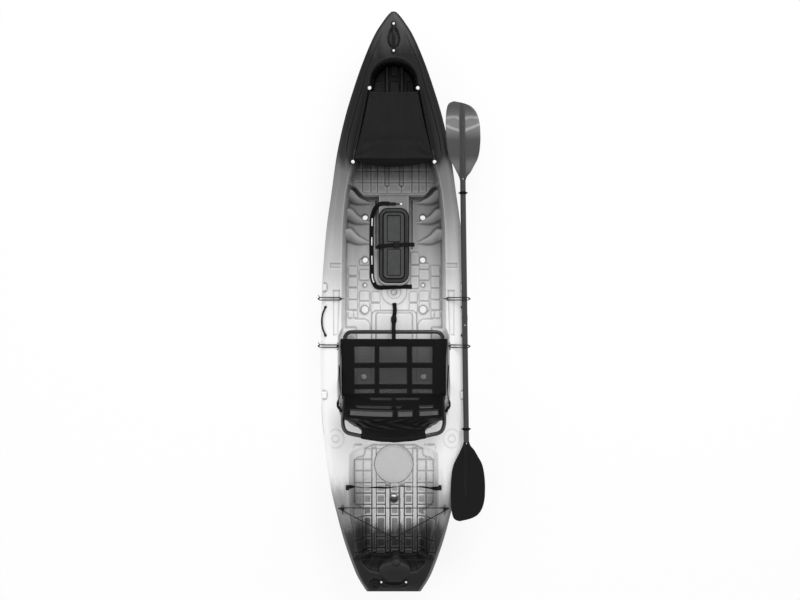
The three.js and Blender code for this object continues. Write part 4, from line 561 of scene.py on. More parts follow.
def sideDeckForms(z, x, y):
    ax = np.abs(x)
    for place in gunwale["rests"]:
        inside = insideBox(ax, y, ((gunwale["restInner"] + gunwale["restOuter"]) / 2, place),
                           (gunwale["restOuter"] - gunwale["restInner"], gunwale["restLength"]), 0.006)
        inside = np.minimum(inside, halfBreadth(y) - ax - 0.004)
        top = hull["sheer"] + gunwale["restHeight"]
        z = np.where(inside > -0.006, softMax(z, top + np.minimum(inside - 0.005, 0) * 5, 0.004), z)
    middleY, middleX, wide, long = gunwale["bars"]
    z = pad(z, insideBox(ax, y, (middleX, middleY), (wide, long), 0.004), -0.004, 0.005)
    # A long shallow channel beside the cockpit, and the accessory pads behind the seat
    front, rear, middle, half = gunwale["channel"]
    taper = np.clip((front - y) / (front - rear), 0, 1)
    inside = np.minimum(half - np.abs(ax - (middle + 0.004 * taper)) - 0.006 * taper, np.minimum(front - y, y - rear))
    z = np.where((y < front) & (y > rear), pad(z, inside, -gunwale["channelDepth"], 0.008), z)
    px, py = gunwale["padPlace"]
    r = np.hypot(ax - px, (y - py) * 0.92)
    z = pad(z, gunwale["padRadius"] - r, 0.0022, 0.006)
    z = pad(z, gunwale["discRadius"] - np.hypot(ax - px, y - py), -0.0022, 0.005)
    return z


def bowForms(z, x, y):
    off = np.abs(np.abs(x) - curveThrough(bowDeck["crease"], y))
    z = z - bowDeck["creaseDepth"] * ease((0.007 - off) / 0.006) * ease((y - 0.80) / 0.15) * ease((1.61 - y) / 0.06)
    inside = insideDistance(x, y, mirroredOutline(bowDeck["recess"]))
    z = np.where(y > 1.47, softMin(z, z - bowDeck["recessDepth"] * ease(inside / 0.016), 0.002), z)
    for place in bowDeck["collars"]:
        z = pad(z, bowDeck["collar"] - np.hypot(x, y - place), 0.0015, 0.004)
    for place in bowDeck["ribs"]:
        inside = bowDeck["ribWidth"] / 2 - np.abs(x - place)
        z = np.where(y > 0.99, boss(z, inside, wells["bowFloorHeight"] + bowDeck["ribHeight"], 0.005, 0.006), z)
    px, py, wide, long = bowDeck["plate"]
    z = np.where(y > 1.3, boss(z, insideBox(x, y, (px, py), (wide, long), 0.016),
                               wells["bowFloorHeight"] + bowDeck["plateHeight"], 0.006), z)
    for place in bowDeck["bricksAcross"]:
        for middle in bowDeck["bricksAlong"]:
            z = np.where(y > 0.99, pad(z, insideBox(x, y, (place, middle), bowDeck["brick"], 0.006), 0.008, 0.004), z)
    return z


def sternForms(z, x, y):
    mx, my = sternDeck["dome"]
    long = np.where(y > my, sternDeck["domeFront"], sternDeck["domeLong"])
    r = np.hypot((x - mx) / sternDeck["domeWide"], (y - my) / long)
    nx, ny, reach = sternDeck["domeNose"]
    r = softMin(r, np.hypot(x - nx, y - ny) / reach, 0.2)
    dome = sheerAt(y) + sternDeck["domeHeight"] * np.sqrt(np.clip(1 - r ** 2, 0, 1)) - 0.006
    z = np.where(r < 1, softMax(z, dome, 0.006), z)
    px, py, wide, deep = sternDeck["trough"]
    z = pad(z, insideBox(x, y, (px, py), (wide, deep), 0.014), -sternDeck["troughDepth"], 0.012)
    dx, dy = sternDeck["drain"]
    r = np.hypot(x - dx, y - dy)
    z = pad(z, sternDeck["drainRadius"] - r, -0.002, 0.006)
    return z


def deckHeight(x, y):
    z = gunwaleHeight(x, y)
    z = sideDeckForms(z, x, y)
    if y.max() > 0.5:
        z = carve(z, x, y, wells["bowRim"], wells["bowFloor"], wells["bowFloorHeight"])
    if y.max() > -0.7 and y.min() < 0.7:
        z = carve(z, x, y, wells["cockpitRim"], wells["cockpitFloor"], wells["cockpitFloorHeight"], 0.018)
        z = footBraces(z, x, y)
        z = cockpitForms(z, x, y)
        z = cockpitPads(z, x, y)
        z = brickRows(z, x, y)
    if y.min() < -0.8:
        z = carve(z, x, y, wells["tankRim"], wells["tankFloor"], wells["tankFloorHeight"])
        z = tankForms(z, x, y)
        z = sternForms(z, x, y)
    if y.max() > 0.75:
        z = bowForms(z, x, y)
    for px, py, radius in scupperPlaces:
        r = np.hypot(x - px, y - py)
        z = np.where(r < radius + 0.02, pad(z, radius + 0.006 - r, 0.0015, 0.003), z)
    return z


def holesCut(points, faces, holes):
    # Faces inside a hole go, and the points of those that cross its edge move onto the edge
    x, y = points[:, 0], points[:, 1]
    for px, py, radius in holes:
        r = np.hypot(x - px, y - py)
        inner = r < radius
        keep = ~inner[faces].all(1)
        faces = faces[keep]
        used = np.zeros(len(points), bool)
        used[faces.ravel()] = True
        edge = inner & used
        x[edge] = px + (x[edge] - px) * radius / np.maximum(r[edge], 1e-6)
        y[edge] = py + (y[edge] - py) * radius / np.maximum(r[edge], 1e-6)
    return points, faces


def compacted(points, faces):
    used, faces = np.unique(faces, return_inverse=True)
    return points[used], faces.reshape(-1, 4)


def blurred(z, reach):
    # Three passes of a running mean over rows and columns
    for axis in (0, 1):
        for turn in range(3):
            padding = [(reach + 1, reach) if i == axis else (0, 0) for i in (0, 1)]
            total = np.cumsum(np.pad(z, padding, mode="edge"), axis)
            low = np.take(total, range(0, z.shape[axis]), axis)
            high = np.take(total, range(2 * reach + 1, 2 * reach + 1 + z.shape[axis]), axis)
            z = (high - low) / (2 * reach + 1)
    return z


def reliefShade(z):
    # How far a point lies below its surroundings near by and further off, and how far above them
    near, wide = blurred(z, 1) - z, blurred(z, 7) - z
    return {"groove": np.clip(near / 0.0011, 0, 1), "rim": np.clip(-near / 0.0011, 0, 1),
            "hollow": np.clip(wide / 0.030, 0, 1), "ridge": np.clip(-wide / 0.008, 0, 1)}


def makeHull():
    # The deck: a height over a grid whose columns follow the plan outline; the shell: the section carried along it
    ends = [hull["length"] / 2, *hull["seams"], -hull["length"] / 2]
    names = ["hullBow", "hullMiddle", "hullStern"]
    across = np.linspace(-1, 1, hull["columns"])
    mouths = [(*tank["plate"], tank["plateHole"]), (*sternDeck["drain"], sternDeck["drainHole"])]
    allRows, decks, made = [], [], []
    for front, rear in zip(ends, ends[1:]):
        rows = np.linspace(front, rear, hull["rowsEach"])
        allRows.append(rows if front == ends[0] else rows[1:])
        y = np.repeat(rows[:, None], hull["columns"], 1)
        x = across[None, :] * halfBreadth(y)
        decks.append((x, y, deckHeight(x, y)))
    x, y, z = (np.concatenate([deck[i] if j == 0 else deck[i][1:] for j, deck in enumerate(decks)]) for i in range(3))
    shades = reliefShade(z)
    shades["outer"] = ease((0.024 - halfBreadth(y) + np.abs(x)) / 0.014)
    for i, (name, front, rear, (x, y, z)) in enumerate(zip(names, ends, ends[1:], decks)):
        points = np.stack([x, y, z], -1).reshape(-1, 3)
        faces = gridFaces(hull["rowsEach"], hull["columns"])[:, ::-1]
        here = [hole for hole in scupperPlaces + mouths if rear - 0.1 < hole[1] < front + 0.1]
        points, faces = holesCut(points, faces, here)
        opened = insideBox(points[:, 0], points[:, 1], hatch["middle"], hatch["opening"], 0.030) > 0
        faces = faces[~opened[faces].all(1)]
        used, faces = np.unique(faces, return_inverse=True)
        item = meshOf(name, points[used], faces.reshape(-1, 4))
        first = i * (hull["rowsEach"] - 1)
        for shade, values in shades.items():
            mark(item, shade, values[first:first + hull["rowsEach"]].ravel()[used])
        made.append(item)
    rows = np.concatenate(allRows)
    girth = np.linspace(0, 1, hull["girth"]) ** 0.9
    section = np.asarray(hull["section"])
    length = np.concatenate([[0], np.cumsum(np.hypot(*np.diff(section, axis=0).T))])
    outX = curveThrough(np.stack([length, section[:, 0]], 1), girth * length[-1])
    outZ = curveThrough(np.stack([length, section[:, 1]], 1), girth * length[-1])
    outX, outZ = np.concatenate([-outX[:0:-1], outX]), np.concatenate([outZ[:0:-1], outZ])
    x = halfBreadth(rows)[:, None] * outX[None, :]
    z = keelAt(rows)[:, None] + (sheerAt(rows) - keelAt(rows))[:, None] * outZ[None, :]
    y = np.repeat(rows[:, None], len(outX), 1)
    points = np.stack([x, y, z], -1).reshape(-1, 3)
    flared = [(px, py, radius * scupperFlare) for px, py, radius in scupperPlaces]
    points, faces = compacted(*holesCut(points, gridFaces(*x.shape), flared))
    shell = meshOf("hullShell", points, faces)
    mark(shell, "outer", np.ones(len(points)))
    ends = []
    for row, turn in ((0, 1), (-1, -1)):
        ring = np.stack([x[row], y[row], z[row]], -1)
        ends.append(meshOf("hullBowEnd" if row == 0 else "hullSternEnd", ring, [list(range(len(ring)))[::turn]],
                           smooth=False))
    # The wall's inner face, seen through the open hatch
    low, near = np.flatnonzero(outZ < 0.45), np.flatnonzero(np.abs(rows - hatch["middle"][1]) < 0.42)
    inner = np.stack([x * 0.985, y, z + 0.004], -1)[near[0]:near[-1] + 1, low[0]:low[-1] + 1]
    points, faces = holesCut(inner.reshape(-1, 3), gridFaces(*inner.shape[:2])[:, ::-1], flared)
    made += [shell, *ends, meshOf("hullInside", *compacted(points, faces)), makeScupperTubes(), makeMouthWalls()]
    for piece in made:
        piece.data.materials.append(finishes["hull"])
        dress(piece, "root", "hull_plastic", "hull")


def lathe(profile, place=(0, 0, 0), sides=32, axis="z"):
    # A profile of radius and height turned about an upright axis
    profile = np.asarray(profile, float)
    angle = np.linspace(0, 2 * np.pi, sides, endpoint=False)
    ring = np.stack([np.cos(angle), np.sin(angle)], -1)
    points = np.concatenate([profile[:, None, :1] * ring[None], np.repeat(profile[:, None, 1:], sides, 1)], -1)
    if axis == "y":
        points = points[..., [0, 2, 1]] * (1, 1, -1)
    return points + np.asarray(place), gridFaces(len(profile), sides, closedColumns=True)


def joined(name, shapes):
    points, faces, start = [], [], 0
    for shape, face in shapes:
        flat = shape.reshape(-1, 3)
        points.append(flat)
        faces.append(face + start)
        start += len(flat)
    return meshOf(name, np.concatenate(points), np.concatenate(faces))


def makeScupperTubes():
    shapes = []
    for px, py, radius in scupperPlaces:
        top = float(deckHeight(np.array([[px + radius + 0.004]]), np.array([[py]]))[0, 0])
        wide = radius * scupperFlare
        profile = [(radius + 0.006, top + 0.0003), (radius + 0.001, top + 0.0006), (radius, top - 0.003),
                   (radius, 0.05), (wide, 0.006), (wide + 0.002, 0), (wide + 0.008, 0)]
        shapes.append(lathe(profile[::-1], (px, py, 0), 40))
    return joined("hullScuppers", shapes)


def makeMouthWalls():
    # The collars of the round plate's and the drain's holes
    shapes = []
    for (px, py), radius, top, deep in ((tank["plate"], tank["plateHole"], 0.212, 0.02),
                                        (sternDeck["drain"], sternDeck["drainHole"], 0.325, 0.03)):
        profile = [(radius, top - deep), (radius, top - 0.001), (radius + 0.002, top)]
        shapes.append(lathe(profile, (px, py, 0), 48))
    return joined("hullMouths", shapes)


def dress(piece, body, slot, *replaced):
    # Attaches the piece to its body if it has one, and hides the CAD parts it replaces
    if body:
        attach(piece, body)
    if replaced:
        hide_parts(*replaced)


# Finishes


def hullPlastic():
    # Black at the bow, fading to near white amidships; a speckled fade back to black at the stern
    paint = Finish("hullPlastic", roughness=0.45, specular=0.18)
    place = paint.where()
    x, y, z = paint.parts(place)
    streak = paint.noise(paint.scaled(place, (9.0, 1.6, 9.0)), 3.0, 3.0)
    cloud = paint.noise(place, 5.0, 3.0)
    speck = paint.noise(place, 230.0, 2.0, 0.6)
    groove, rim, hollow, ridge, outer = map(paint.marked, ("groove", "rim", "hollow", "ridge", "outer"))

    def ramp(along, stops):
        low, high = stops[0][0], stops[-1][0]
        places = [((at - low) / (high - low), grey) for at, grey in stops]
        return paint.node("ValToRGB", {"stops": places}, {0: (along - low) / (high - low)})

    along = y + (cloud - 0.5) * 0.08 + (streak - 0.5) * 0.14
    flank = x.absolute().between(0.25, 0.42)
    forward = ramp(along - flank * 0.10, [
        (-0.66, 0.95), (-0.30, 0.93), (-0.16, 0.88), (-0.04, 0.76), (0.12, 0.53), (0.28, 0.41), (0.40, 0.31),
        (0.54, 0.225),
        (0.68, 0.175), (0.76, 0.14), (0.84, 0.020), (1.00, 0.010), (1.25, 0.007), (1.45, 0.010), (1.54, 0.045),
        (1.66, 0.066)])
    raised = rim.max(ridge)
    fade = along - (speck - 0.5) * 0.13 + flank * 0.03
    aft = ramp(fade * -1.0, [
        (0.90, 0.98), (0.98, 0.95), (1.04, 0.78), (1.10, 0.44), (1.17, 0.30), (1.27, 0.22), (1.31, 0.14), (1.36, 0.036),
        (1.43, 0.018), (1.55, 0.014), (1.70, 0.010)])
    # Painted highlights: ribs and raised edges in the tank are painted pale until the black begins, and thin out to
    # grey highlight lines behind it
    tankFloor = (1.0 - z.between(0.222, 0.240)) * (1.0 - x.absolute().between(0.160, 0.200))
    paintedRibHighlight = raised * tankFloor * fade.between(-1.36, -1.28) * 0.95
    aft = paint.blended(paintedRibHighlight, aft, (0.94, 0.94, 0.94, 1))
    aft = paint.blended(rim * tankFloor * (speck - 0.2) * 0.40, aft, (0.45, 0.45, 0.45, 1))
    # Painted light and shade: the sloping outer band at the stern is painted a mid grey, lighter than the black deck
    # and darker than the pale deck ahead of it
    aft = paint.blended(outer * (0.50 + speck * 0.5) * (1.0 - y.between(-1.30, -1.08)), aft, (0.17, 0.17, 0.17, 1))
    color = paint.blended(y.between(-0.90, -0.82), aft, forward)
    # Painted shade: a dark ring on the deck round each scupper hole
    hole = 1.0
    for px, py, radius in scuppers:
        dx, dy = x.absolute() - abs(px), y - py
        r = (dx * dx + dy * dy).power(0.5)
        hole = hole * (0.45 + 0.55 * r.between(radius + 0.003, radius + 0.009))
    # Relief: painted shade in grooves, in hollows and at the feet of walls, strongest at the bow; painted highlights
    # along raised edges; and painted shade on the outer band at the bow
    deep = y.between(0.80, 0.95)
    # Steep walls get little of the painted groove and hollow shade
    below = 1.0 - z.between(0.276, 0.288)
    wall = z.between(0.132, 0.150) * below * x.absolute().between(0.205, 0.225) * y.between(-0.62, -0.58)
    wall = wall.max(z.between(0.212, 0.222) * below * (1.0 - y.between(-0.80, -0.76)) * y.between(-1.30, -1.15))
    groove = groove * (1.0 - wall * (1.0 - deep))
    hollow = hollow * (1.0 - wall * (1.0 - deep))
    # Painted light: the low cockpit floor is painted up to a tenth lighter
    floor = 1.0 - z.between(0.125, 0.150)
    paintedFloorLight = 1.0 + floor * y.between(-0.35, -0.10) * (1.0 - y.between(0.20, 0.34)) * 0.10
    # Painted shadow: a dark band on the deck along each side of the bow cover
    beside = x.absolute() + (y - 1.2415) * 0.2331 - 0.141
    gap = beside.between(-0.004, 0.004) * (1.0 - beside.between(0.026, 0.044)) * deep * (1.0 - y.between(1.22, 1.28))
    # The painted shade of the relief, the scupper rings, the bow's outer band and the cover's sides, times the painted
    # floor light
    paintedLightAndShade = (1.0 - groove * (0.44 + deep * 0.44)) * (1.0 - hollow * (0.05 + deep * 0.70)) * hole
    paintedLightAndShade = paintedLightAndShade * (1.0 - outer * y.between(1.0, 1.2) * 0.6) * (1.0 - gap * 0.65) * paintedFloorLight
    color = paint.node("VectorMath", {"operation": "SCALE"}, {0: color, "Scale": paintedLightAndShade})
    # Painted highlight: raised rims are painted towards pale grey, most near the stern's black edge and not at all at
    # the bow
    lift = rim * (0.02 + y.between(-1.34, -1.26) * 0.10 - y.between(0.70, 0.86) * 0.10)
    paint.set("Base Color", paint.blended(lift, color, (0.9, 0.9, 0.9, 1)))
    grain = paint.noise(place, 420.0, 2.0) * 0.6 + paint.noise(place, 60.0, 2.0) * 1.0
    paint.bump(grain, 0.05, 0.002)
    paint.set("Roughness", 0.42 + cloud * 0.10)
    return paint.material


finishes = {}

# Paths, sweeps and small shapes


def smoothed(points, steps=8, closed=False):
    # A curve through every point, with the same number of steps between neighbours
    p = np.asarray(points, float)
    p = np.concatenate([p[-1:], p, p[:2]]) if closed else np.concatenate([2 * p[:1] - p[1:2], p, 2 * p[-1:] - p[-2:-1]])
    t = np.linspace(0, 1, steps, endpoint=False)[:, None]
    spans = [0.5 * (2 * b + (c - a) * t + (2 * a - 5 * b + 4 * c - d) * t ** 2 + (3 * b - a - 3 * c + d) * t ** 3)
             for a, b, c, d in zip(p, p[1:], p[2:], p[3:])]
    line = np.concatenate(spans)
    return line if closed else np.concatenate([line, p[-2:-1]])


def unit(vectors):
    return vectors / np.maximum(np.linalg.norm(vectors, axis=-1, keepdims=True), 1e-12)


def sweep(path, section, across=None, closed=False, grow=None):
    # A closed section carried along a path; across holds its first axis, and grow scales it at each point
    path, section = np.asarray(path, float), np.asarray(section, float)
    tangent = unit(np.roll(path, -1, 0) - np.roll(path, 1, 0)) if closed else unit(np.gradient(path, axis=0))
    if across is None:
        side = np.zeros_like(path)
        side[0] = np.cross(tangent[0], (0, 0, 1)) if abs(tangent[0][2]) < 0.9 else np.cross(tangent[0], (1, 0, 0))
        for i in range(1, len(path)):
            side[i] = side[i - 1] - np.dot(side[i - 1], tangent[i]) * tangent[i]
    else:
        side = np.broadcast_to(np.asarray(across, float), path.shape)
        side = side - (side * tangent).sum(-1, keepdims=True) * tangent
    side = unit(side)
    up = np.cross(side, tangent)
    if section.ndim == 2:
        section = np.broadcast_to(section, (len(path), *section.shape))
    if grow is not None:
        section = section * np.asarray(grow, float).reshape(len(path), 1, -1)
    points = path[:, None] + side[:, None] * section[..., :1] + up[:, None] * section[..., 1:]
    rows, columns = points.shape[:2]
    faces = gridFaces(rows, columns, closed, True).tolist()
    if not closed:
        faces += [list(range(columns)), list(range((rows - 1) * columns, rows * columns))]
    along = np.concatenate([[0], np.cumsum(np.linalg.norm(np.diff(path, axis=0), axis=-1))])
    uv = np.stack([np.repeat(along[:, None], columns, 1), section[..., 0]], -1)
    return points, faces, uv


def circle(radius, sides=12):
    angle = np.linspace(0, 2 * np.pi, sides, endpoint=False)
    return np.stack([np.cos(angle), np.sin(angle)], -1) * radius


def roundedBox(width, length, corner, steps=5):
    # A closed outline about its own middle
    corner = min(corner, width / 2 - 1e-5, length / 2 - 1e-5)
    turns = np.linspace(0, np.pi / 2, steps + 1)
    corners = []
    for start, sx, sy in ((0, 1, 1), (np.pi / 2, -1, 1), (np.pi, -1, -1), (3 * np.pi / 2, 1, -1)):
        middle = np.array([sx * (width / 2 - corner), sy * (length / 2 - corner)])
        corners.append(middle + corner * np.stack([np.cos(start + turns), np.sin(start + turns)], -1))
    return np.concatenate(corners)


def webbing(points, width=0.025, thickness=0.002, across=None, steps=6, grow=None):
    return sweep(smoothed(points, steps), roundedBox(width, thickness, thickness * 0.45, 2), across, grow=grow)


def tube(points, radius, steps=6, sides=12, closed=False, grow=None):
    return sweep(smoothed(points, steps, closed), circle(radius, sides), None, closed, grow)


def turning(profile, place=(0, 0, 0), sides=32, tilt=0.0, axis="z"):
    # A profile of radius and height turned about an upright axis, tilted about x and set in its place
    points, faces = lathe(profile, (0, 0, 0), sides, axis)
    c, s = math.cos(tilt), math.sin(tilt)
    points = np.stack([points[..., 0], points[..., 1] * c - points[..., 2] * s,
                       points[..., 1] * s + points[..., 2] * c], -1)
    return points + np.asarray(place, float), faces.tolist(), points[..., :2]


def ringed(profile, size, corner, middle, cap=False, steps=8):
    # A rounded rectangle's rings: each profile point is an inset and a height
    rings = [np.column_stack([roundedBox(size[0] - 2 * inset, size[1] - 2 * inset, max(corner - inset, 0.002), steps),
                              np.full(4 * (steps + 1), height)]) for inset, height in profile]
    points = np.stack(rings) + np.array([middle[0], middle[1], 0])
    columns = points.shape[1]
    faces = gridFaces(len(rings), columns, False, True).tolist()
    if cap:
        faces.append(list(range((len(rings) - 1) * columns, len(rings) * columns)))
    return points, faces, points[..., :2]


def plate(size, corner, middle, height, columns=60, rows=120):
    # A height field over a rounded rectangle
    end = corner * (1 - np.cos(np.linspace(0, np.pi / 2, 10)))
    straight = np.linspace(corner, size[1] - corner, rows)[1:-1]
    y = size[1] / 2 - np.concatenate([end, straight, size[1] - end[::-1]])
    past = np.clip(np.abs(y) - (size[1] / 2 - corner), 0, corner)
    half = size[0] / 2 - corner + np.sqrt(corner ** 2 - past ** 2)
    x = np.linspace(-1, 1, columns)[None] * half[:, None]
    y = np.repeat(y[:, None], columns, 1)
    points = np.stack([x + middle[0], y + middle[1], height(x, y)], -1)
    return points, gridFaces(len(y), columns)[:, ::-1].tolist(), points[..., :2]


def thick(points, thickness, uv=None):
    # A sheet with two faces and a rim, from the grid of its upper face
    rows, columns = points.shape[:2]
    normal = unit(np.cross(np.gradient(points, axis=1), np.gradient(points, axis=0)))
    normal *= np.where(normal[..., 2].mean() < 0, -1, 1)
    under = points - normal * thickness
    count = rows * columns
    faces = gridFaces(rows, columns)
    index = np.arange(count).reshape(rows, columns)
    rim = np.concatenate([index[0, :-1], index[:-1, -1], index[-1, :0:-1], index[:0:-1, 0]])
    after = np.roll(rim, -1)
    walls = np.stack([rim, after, after + count, rim + count], -1)
    both = np.concatenate([points.reshape(-1, 3), under.reshape(-1, 3)])
    flat = points[..., :2] if uv is None else uv
    uvs = np.concatenate([flat.reshape(-1, 2), flat.reshape(-1, 2)])
    return both, np.concatenate([faces, faces[:, ::-1] + count, walls]).tolist(), uvs


def piece(name, shapes, body, finish, slot, *replaced, sharp=0.7):
    points, faces, uvs, start = [], [], [], 0
    for shape, face, uv in shapes:
        flat = shape.reshape(-1, 3)
        points.append(flat)
        faces += [[index + start for index in polygon] for polygon in face]
        uvs.append(uv.reshape(-1, 2))
        start += len(flat)
    item = meshOf(name, np.concatenate(points), faces, np.concatenate(uvs))
    shell = bmesh.new()
    shell.from_mesh(item.data)
    bmesh.ops.recalc_face_normals(shell, faces=shell.faces)
    shell.to_mesh(item.data)
    shell.free()
    if sharp:
        item.data.set_sharp_from_angle(angle=sharp)
    item.data.materials.append(finishes[finish])
    dress(item, body, slot, *replaced)
    return item


def colourNode(name, finish):
    # A plain CAD piece that is shown as it is, in a better material
    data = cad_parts[name].data
    data.materials.clear()
    data.materials.append(finishes[finish])


def clothOf(item, grid, held, *rests):
    # Prints a sheet's flat width and length, taken as the longest lines over it
    width, length = (float(np.linalg.norm(np.diff(grid, axis=axis), axis=-1).sum(axis).max()) * 1.005
                     for axis in (1, 0))
    print(f"cloth {item.name}: {width:.3f} x {length:.3f} m")


def markOpen(item, opened):
    # The open share of a mesh cloth, for both its faces
    mark(item, "open", np.tile(opened.ravel(), 2))


# Bow

bow = {
    "handleFront": 1.6269, "handleRear": 1.4749, "handleRise": 0.020, "handleThick": 0.009, "screw": 0.0072,
    "stud": 0.011, "studHeight": 0.0075, "studsFront": (0.142, 1.262), "studsRear": (0.241, 0.832),
    "coverFront": 1.2415, "coverRear": 0.851, "coverHalfFront": 0.141, "coverHalfRear": 0.232, "coverSag": 0.016,
    "coverThick": 0.0016, "cord": 0.003, "flap": 0.034,
}


def screwHead(place, radius, height, tilt=0.0):
    # A low dome with a driver's recess
    profile = [(radius, 0), (radius, 0.35 * height), (0.86 * radius, 0.8 * height), (0.5 * radius, height),
               (0.3 * radius, height), (0.26 * radius, 0.45 * height), (0.0001, 0.45 * height)]
    return turning(profile, place, 20, tilt)


def makeBow():
    middle = (bow["handleFront"] + bow["handleRear"]) / 2
    half = (bow["handleFront"] - bow["handleRear"]) / 2
    sheerHere = deckAt(middle)
    slope = (deckAt(bow["handleFront"]) - deckAt(bow["handleRear"])) / (2 * half)
    share = np.array([-1.09, -0.95, -0.8, -0.62, -0.35, -0.05, 0.3, 0.6, 0.8, 0.95, 1.09])
    rise = np.array([0, 0, 0.06, 0.5, 0.86, 1, 0.92, 0.5, 0.06, 0, 0])
    width = np.array([0.8, 1.0, 0.86, 0.8, 0.98, 1.12, 0.8, 0.62, 0.86, 1.15, 0.9]) * 0.021
    lift = bow["handleThick"] / 2 + 0.001
    levels = sheerHere + slope * share * half + lift + rise * bow["handleRise"]
    path = np.stack([0 * share, middle + share * half, levels], -1)
    line = smoothed(path, 6)
    wide = smoothed(np.stack([width, width], -1), 6)[:, 0]
    section = roundedBox(1.0, 1.0, 0.38, 4)
    grip = sweep(line, section, (1, 0, 0), grow=np.stack([wide, np.full(len(wide), bow["handleThick"])], -1))
    collars = [turning([(0.0005, 0.004), (0.012, 0.0045), (0.0155, 0.003), (0.0165, 0.0005)],
                       (0, y, deckAt(y)), 24, math.atan(slope)) for y in (bow["handleFront"], bow["handleRear"])]
    piece("bowHandle", [grip] + collars, "root", "black", "black_plastic", "bow_handle", sharp=0.9)
    for end, y in (("front", bow["handleFront"]), ("rear", bow["handleRear"])):
        z = sheerHere + slope * (y - middle) + 2 * lift + 0.0004
        piece(end + "HandleScrew", [screwHead((0, y, z - 0.0008), bow["screw"], 0.0045, math.atan(slope))], "root",
              "white", "steel", "bow_handle_screw_" + end)
    for end in ("front", "rear"):
        x, y = bow["studsFront"] if end == "front" else bow["studsRear"]
        tilt = math.atan((deckAt(y + 0.02) - deckAt(y - 0.02)) / 0.04)
        for side, hand in hands:
            place = (side * x, y, deckAt(y) + 0.0006)
            profile = [(bow["stud"], 0), (bow["stud"], 0.0025), (bow["stud"] * 0.9, 0.005),
                       (bow["stud"] * 0.6, bow["studHeight"]),
                       (bow["stud"] * 0.24, bow["studHeight"] + 0.0004), (bow["stud"] * 0.2, 0.0058), (0.0001, 0.0058)]
            piece(end + hand.title() + "Stud", [turning(profile, place, 28, tilt)], "root", "white", "white_plastic",
                  f"bow_cover_stud_{end}_{hand}")
    makeCover()


def makeCover():
    rows, columns = 90, 96
    share = np.linspace(0, 1, rows)[:, None]
    side = np.linspace(-1, 1, columns)[None]
    y = bow["coverFront"] + share * (bow["coverRear"] - bow["coverFront"]) + 0 * side
    half = bow["coverHalfFront"] + share * (bow["coverHalfRear"] - bow["coverHalfFront"])
    # Edges drawn in a little between the studs
    half = half - 0.004 * np.sin(np.pi * share)
    y = y - 0.004 * (1 - side ** 2) * (1 - share) ** 6
    x = side * half
    belly = (1 - side ** 2) * (0.35 + 0.65 * share ** 2)
    z = sheerAt(y) + 0.0050 - bow["coverSag"] * belly

    def crease(start, end, width, height):
        sx, sy = start
        dx, dy = end[0] - sx, end[1] - sy
        t = np.clip(((x - sx) * dx + (y - sy) * dy) / (dx * dx + dy * dy), 0, 1)
        off = np.hypot(x - sx - t * dx, y - sy - t * dy)
        return height * np.exp(-(off / width) ** 2) * (1 - t) ** 0.7

    for hand in (1, -1):
        z = z + crease((hand * 0.136, 1.238), (hand * 0.080, 1.185), 0.007, 0.0040)
        z = z + crease((hand * 0.136, 1.238), (hand * 0.112, 1.150), 0.006, 0.0030)
        z = z - crease((hand * 0.225, 0.860), (hand * 0.060, 0.925), 0.016, 0.0050)
        z = z + crease((hand * 0.225, 0.860), (hand * 0.130, 0.960), 0.012, 0.0030)
        z = z + crease((hand * 0.225, 0.858), (hand * 0.02, 0.872), 0.006, 0.0025)
    z = z - 0.0035 * np.exp(-((y - 0.945 - 0.02 * np.cos(9 * x)) / 0.020) ** 2) * (np.abs(side) < 0.85)
    # Hems along all four edges
    fromEdge = np.minimum(np.minimum((1 - np.abs(side)) * half, share * 0.39), (1 - share) * 0.39)
    z = z + 0.0012 * (fromEdge < 0.011) + 0.0006 * (fromEdge > 0.0105) * (fromEdge < 0.0135)
    grid = np.stack([x + 0 * z, y, z], -1)
    cover = piece("bowCover", [thick(grid, bow["coverThick"])], "root", "cover", "coated_mesh", "bow_cover", sharp=None)
    clothOf(cover, grid, "stretched", "frontRightStud", "frontLeftStud", "rearRightStud", "rearLeftStud")
    # The rear edge's black drawcord channel hangs into the well
    side = np.linspace(-1, 1, 60)[None]
    drop = np.linspace(0, 1, 10)[:, None]
    bowed = 1 - side ** 2
    y = bow["coverRear"] + 0.002 - drop * (0.010 + bow["flap"] * bowed ** 0.8)
    x = side * (bow["coverHalfRear"] - 0.004 - 0.006 * drop)
    z = sheerAt(np.full_like(x, bow["coverRear"])) + 0.0035 - bow["coverSag"] * bowed
    z = z - 0.030 * drop ** 1.3 * (0.3 + 0.7 * bowed)
    z = z + 0.0016 * np.sin(np.pi * drop) * np.cos(21 * x)
    grid = np.stack([x + 0 * z, y + 0 * z, z], -1)
    flap = piece("bowCoverHem", [thick(grid, 0.0014)], "root", "fabric", "coated_mesh", "bow_cover", sharp=None)
    clothOf(flap, grid, "hung", "bowCover")
    for hand, name in hands:
        fx, fy = bow["studsFront"]
        rx, ry = bow["studsRear"]
        line = []
        for t in np.linspace(0, 1, 9):
            px = fx + t * (rx - fx) + 0.014 - 0.004 * math.sin(math.pi * t)
            py = fy + t * (ry - fy)
            line.append((hand * px, py, deckAt(py) + 0.0042))
        ends = [(hand * (fx + 0.004), fy + 0.010, line[0][2]), (hand * (rx + 0.004), ry - 0.011, line[-1][2])]
        piece(name + "CoverCord", [tube([ends[0]] + line + [ends[1]], bow["cord"], 6, 10)], "root", "cord", "bungee",
              "bow_cover_cord_" + name)


# Hatch

hatch = {
    "opening": (0.136, 0.408), "middle": (0, 0.3461), "size": (0.180, 0.452), "corner": 0.053, "frameFoot": 0.1653,
    "frameTop": 0.1773, "lid": (0.152, 0.424), "lidCorner": 0.040, "lidFoot": 0.1812, "plateau": 0.1949,
    "panel": (0.080, 0.158), "pitch": 0.202, "strapTop": 0.1972,
}


